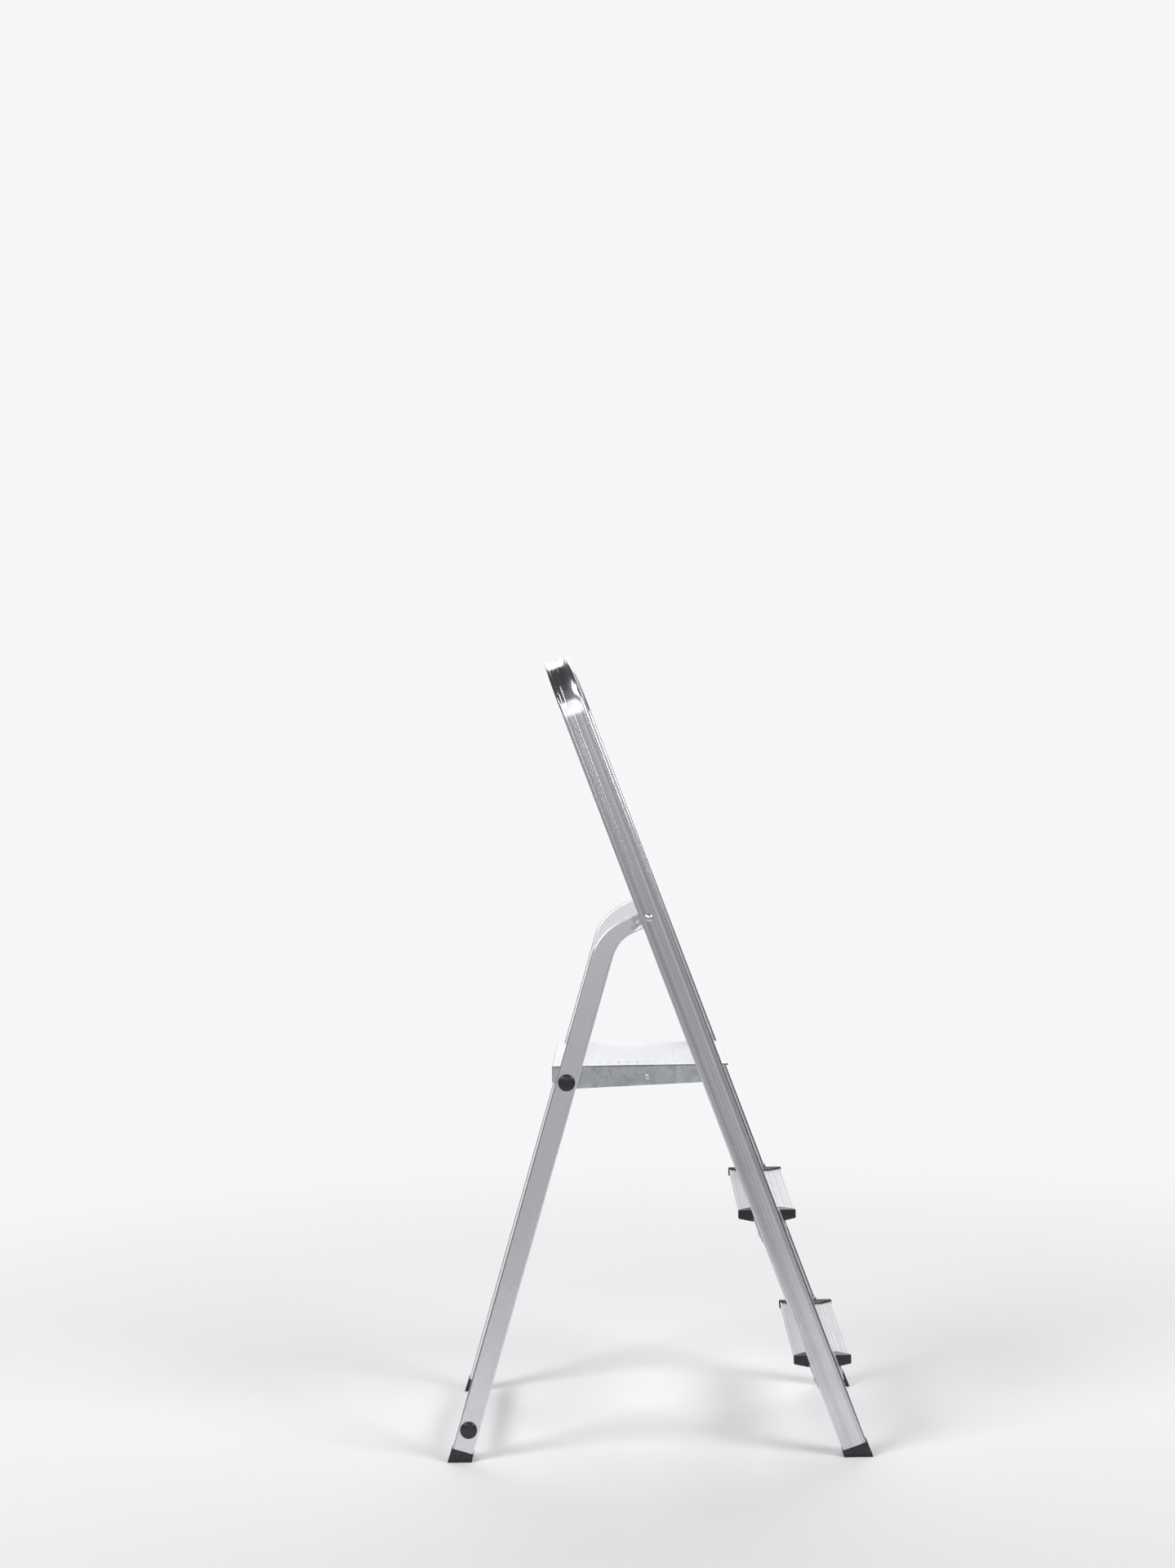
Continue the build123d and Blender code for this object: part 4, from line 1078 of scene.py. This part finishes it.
front_foot = foot_block(
    "front_foot_block_left", Vector((stile_foot.x, -stile_line, 0)), stile_up, stile_face,
    STILE_DEPTH, STILE_THICK, FRAME_WALL, Matrix.Identity(4)
)
leg_face = Vector((math.cos(REAR_LEAN), 0, -math.sin(REAR_LEAN)))
flare_tilt = Matrix.Shear("XY", 4, (0, math.tan(FLARE)))
rear_foot = foot_block(
    "rear_foot_block_left", Vector((LEG_FLOOR_X, -half_frame + LEG_THICK / 2, 0)), leg_up, leg_face,
    LEG_DEPTH, LEG_THICK, LEG_WALL, flare_tilt
)
for foot, end, body in ((front_foot, "front", "front"), (rear_foot, "rear", "rear")):
    twin = mirrored_copy(foot, f"{end}_foot_block_right")
    hand_over(foot, body, "black_plastic", f"{end}_foot_left")
    hand_over(twin, body, "black_plastic", f"{end}_foot_right")

# ---- floor, light and camera --------------------------------------------------------------------------
clear_selection()
bpy.ops.mesh.primitive_circle_add(vertices=128, radius=14, fill_type="NGON", location=(0, 0, -0.4 * MM))
floor = bpy.context.active_object
floor.name = "floor"
floor_paper, tree, shader = new_material("floor paper")
where = add(tree, "ShaderNodeTexCoord").outputs["Object"]
grain = noise(tree, where, 3.0, 4.0)
paper = blend_colours(tree, grain, (0.91, 0.91, 0.92), (0.935, 0.935, 0.945))
# painted shade: the paper is painted greyer towards the camera, where less light falls on it
front = levels(tree, split_axes(tree, where)["Y"], 0.1, -1.1)
link(tree, blend_colours(tree, front, paper, (0.70, 0.70, 0.705)), shader.inputs["Base Color"])
shader.inputs["Roughness"].default_value = 0.8
shader.inputs["Specular IOR Level"].default_value = 0.0
# the floor's far part fades into the light behind it
far = add(tree, "ShaderNodeVectorMath")
far.operation = "LENGTH"
link(tree, where, far.inputs[0])
fade = add(tree, "ShaderNodeMapRange")
fade.interpolation_type = "SMOOTHERSTEP"
fade.inputs["From Min"].default_value = 0.3
fade.inputs["From Max"].default_value = 2.8
fade.inputs["To Min"].default_value = 1.0
fade.inputs["To Max"].default_value = 0.0
link(tree, far.outputs["Value"], fade.inputs["Value"])
link(tree, fade.outputs[0], shader.inputs["Alpha"])
floor.data.materials.append(floor_paper)

world = bpy.data.worlds.new("studio")
bpy.context.scene.world = world
world.use_nodes = True
sky = world.node_tree
sky.nodes.clear()
towards = split_axes(sky, add(sky, "ShaderNodeTexCoord").outputs["Generated"])
overhead = levels(sky, towards["Z"], 0.15, 0.85)
behind = levels(sky, towards["Y"], -0.9, 0.3)
level = blend_values(sky, behind, 0.44, 0.97)
level = blend_values(sky, overhead, level, 0.07)
# the floor goes on below the horizon
below = levels(sky, maths(sky, "MULTIPLY", towards["Z"], -1.0), 0.21, 0.32)
level = blend_values(sky, below, level, 0.36)
# dark flags stand high at both sides, and a brighter wall at the back
sideways = levels(sky, maths(sky, "ABSOLUTE", towards["X"]), 0.5, 0.8)
raised = levels(sky, towards["Z"], -0.17, -0.10)
level = blend_values(sky, maths(sky, "MULTIPLY", sideways, raised), level, 0.08)
backwards = levels(sky, towards["Y"], 0.72, 0.95)
level = plus(sky, level, backwards, 0.15)
seen = add(sky, "ShaderNodeLightPath").outputs["Is Camera Ray"]
level = blend_values(sky, seen, level, 0.935)
shade = add(sky, "ShaderNodeCombineColor")
link(sky, maths(sky, "MULTIPLY", level, 0.985), shade.inputs[0])
link(sky, maths(sky, "MULTIPLY", level, 0.99), shade.inputs[1])
link(sky, level, shade.inputs[2])
background = add(sky, "ShaderNodeBackground")
link(sky, shade.outputs[0], background.inputs["Color"])
world_out = add(sky, "ShaderNodeOutputWorld")
link(sky, background.outputs[0], world_out.inputs["Surface"])


def soft_light(name, place, aim, size, power):
    """A soft box at a place, facing a point."""
    data = bpy.data.lights.new(name, "AREA")
    data.shape = "RECTANGLE"
    data.size, data.size_y = size
    data.energy = power
    light = bpy.data.objects.new(name, data)
    bpy.context.scene.collection.objects.link(light)
    light.location = place
    light.rotation_euler = (Vector(aim) - Vector(place)).to_track_quat("-Z", "Y").to_euler()


soft_light("left box", (-2.5, -1.9, 2.8), aim=(0, 1.0, 0), size=(1.5, 1.5), power=80)
soft_light("right box", (2.6, -1.8, 2.7), aim=(0, 1.0, 0), size=(1.5, 1.5), power=72)
soft_light("back box", (0, 2.3, 3.3), aim=(0, 1.2, 0), size=(2.6, 2.0), power=46)
soft_light("front box", (-0.5, -5.3, 3.2), aim=(0, 0, 1.1), size=(2.8, 3.2), power=38)

LENS = 54.54
CAMERA_PLACE = Vector((-0.0308, -3.9687, 1.1594))
CAMERA_YAW, CAMERA_PITCH, CAMERA_ROLL = -0.0171, -0.0221, -0.0194
forward = Vector((
    math.sin(CAMERA_YAW) * math.cos(CAMERA_PITCH),
    math.cos(CAMERA_YAW) * math.cos(CAMERA_PITCH),
    math.sin(CAMERA_PITCH),
))
level_right = Vector((math.cos(CAMERA_YAW), -math.sin(CAMERA_YAW), 0))
level_up = level_right.cross(forward)
right = math.cos(CAMERA_ROLL) * level_right + math.sin(CAMERA_ROLL) * level_up
up = -math.sin(CAMERA_ROLL) * level_right + math.cos(CAMERA_ROLL) * level_up
camera_data = bpy.data.cameras.new("camera")
camera_data.lens = LENS
camera = bpy.data.objects.new("camera", camera_data)
bpy.context.scene.collection.objects.link(camera)
turned = Matrix((right, up, -forward)).transposed()
camera.matrix_world = Matrix.Translation(CAMERA_PLACE) @ turned.to_4x4()
bpy.context.scene.camera = camera
bpy.context.scene.view_settings.view_transform = "Standard"
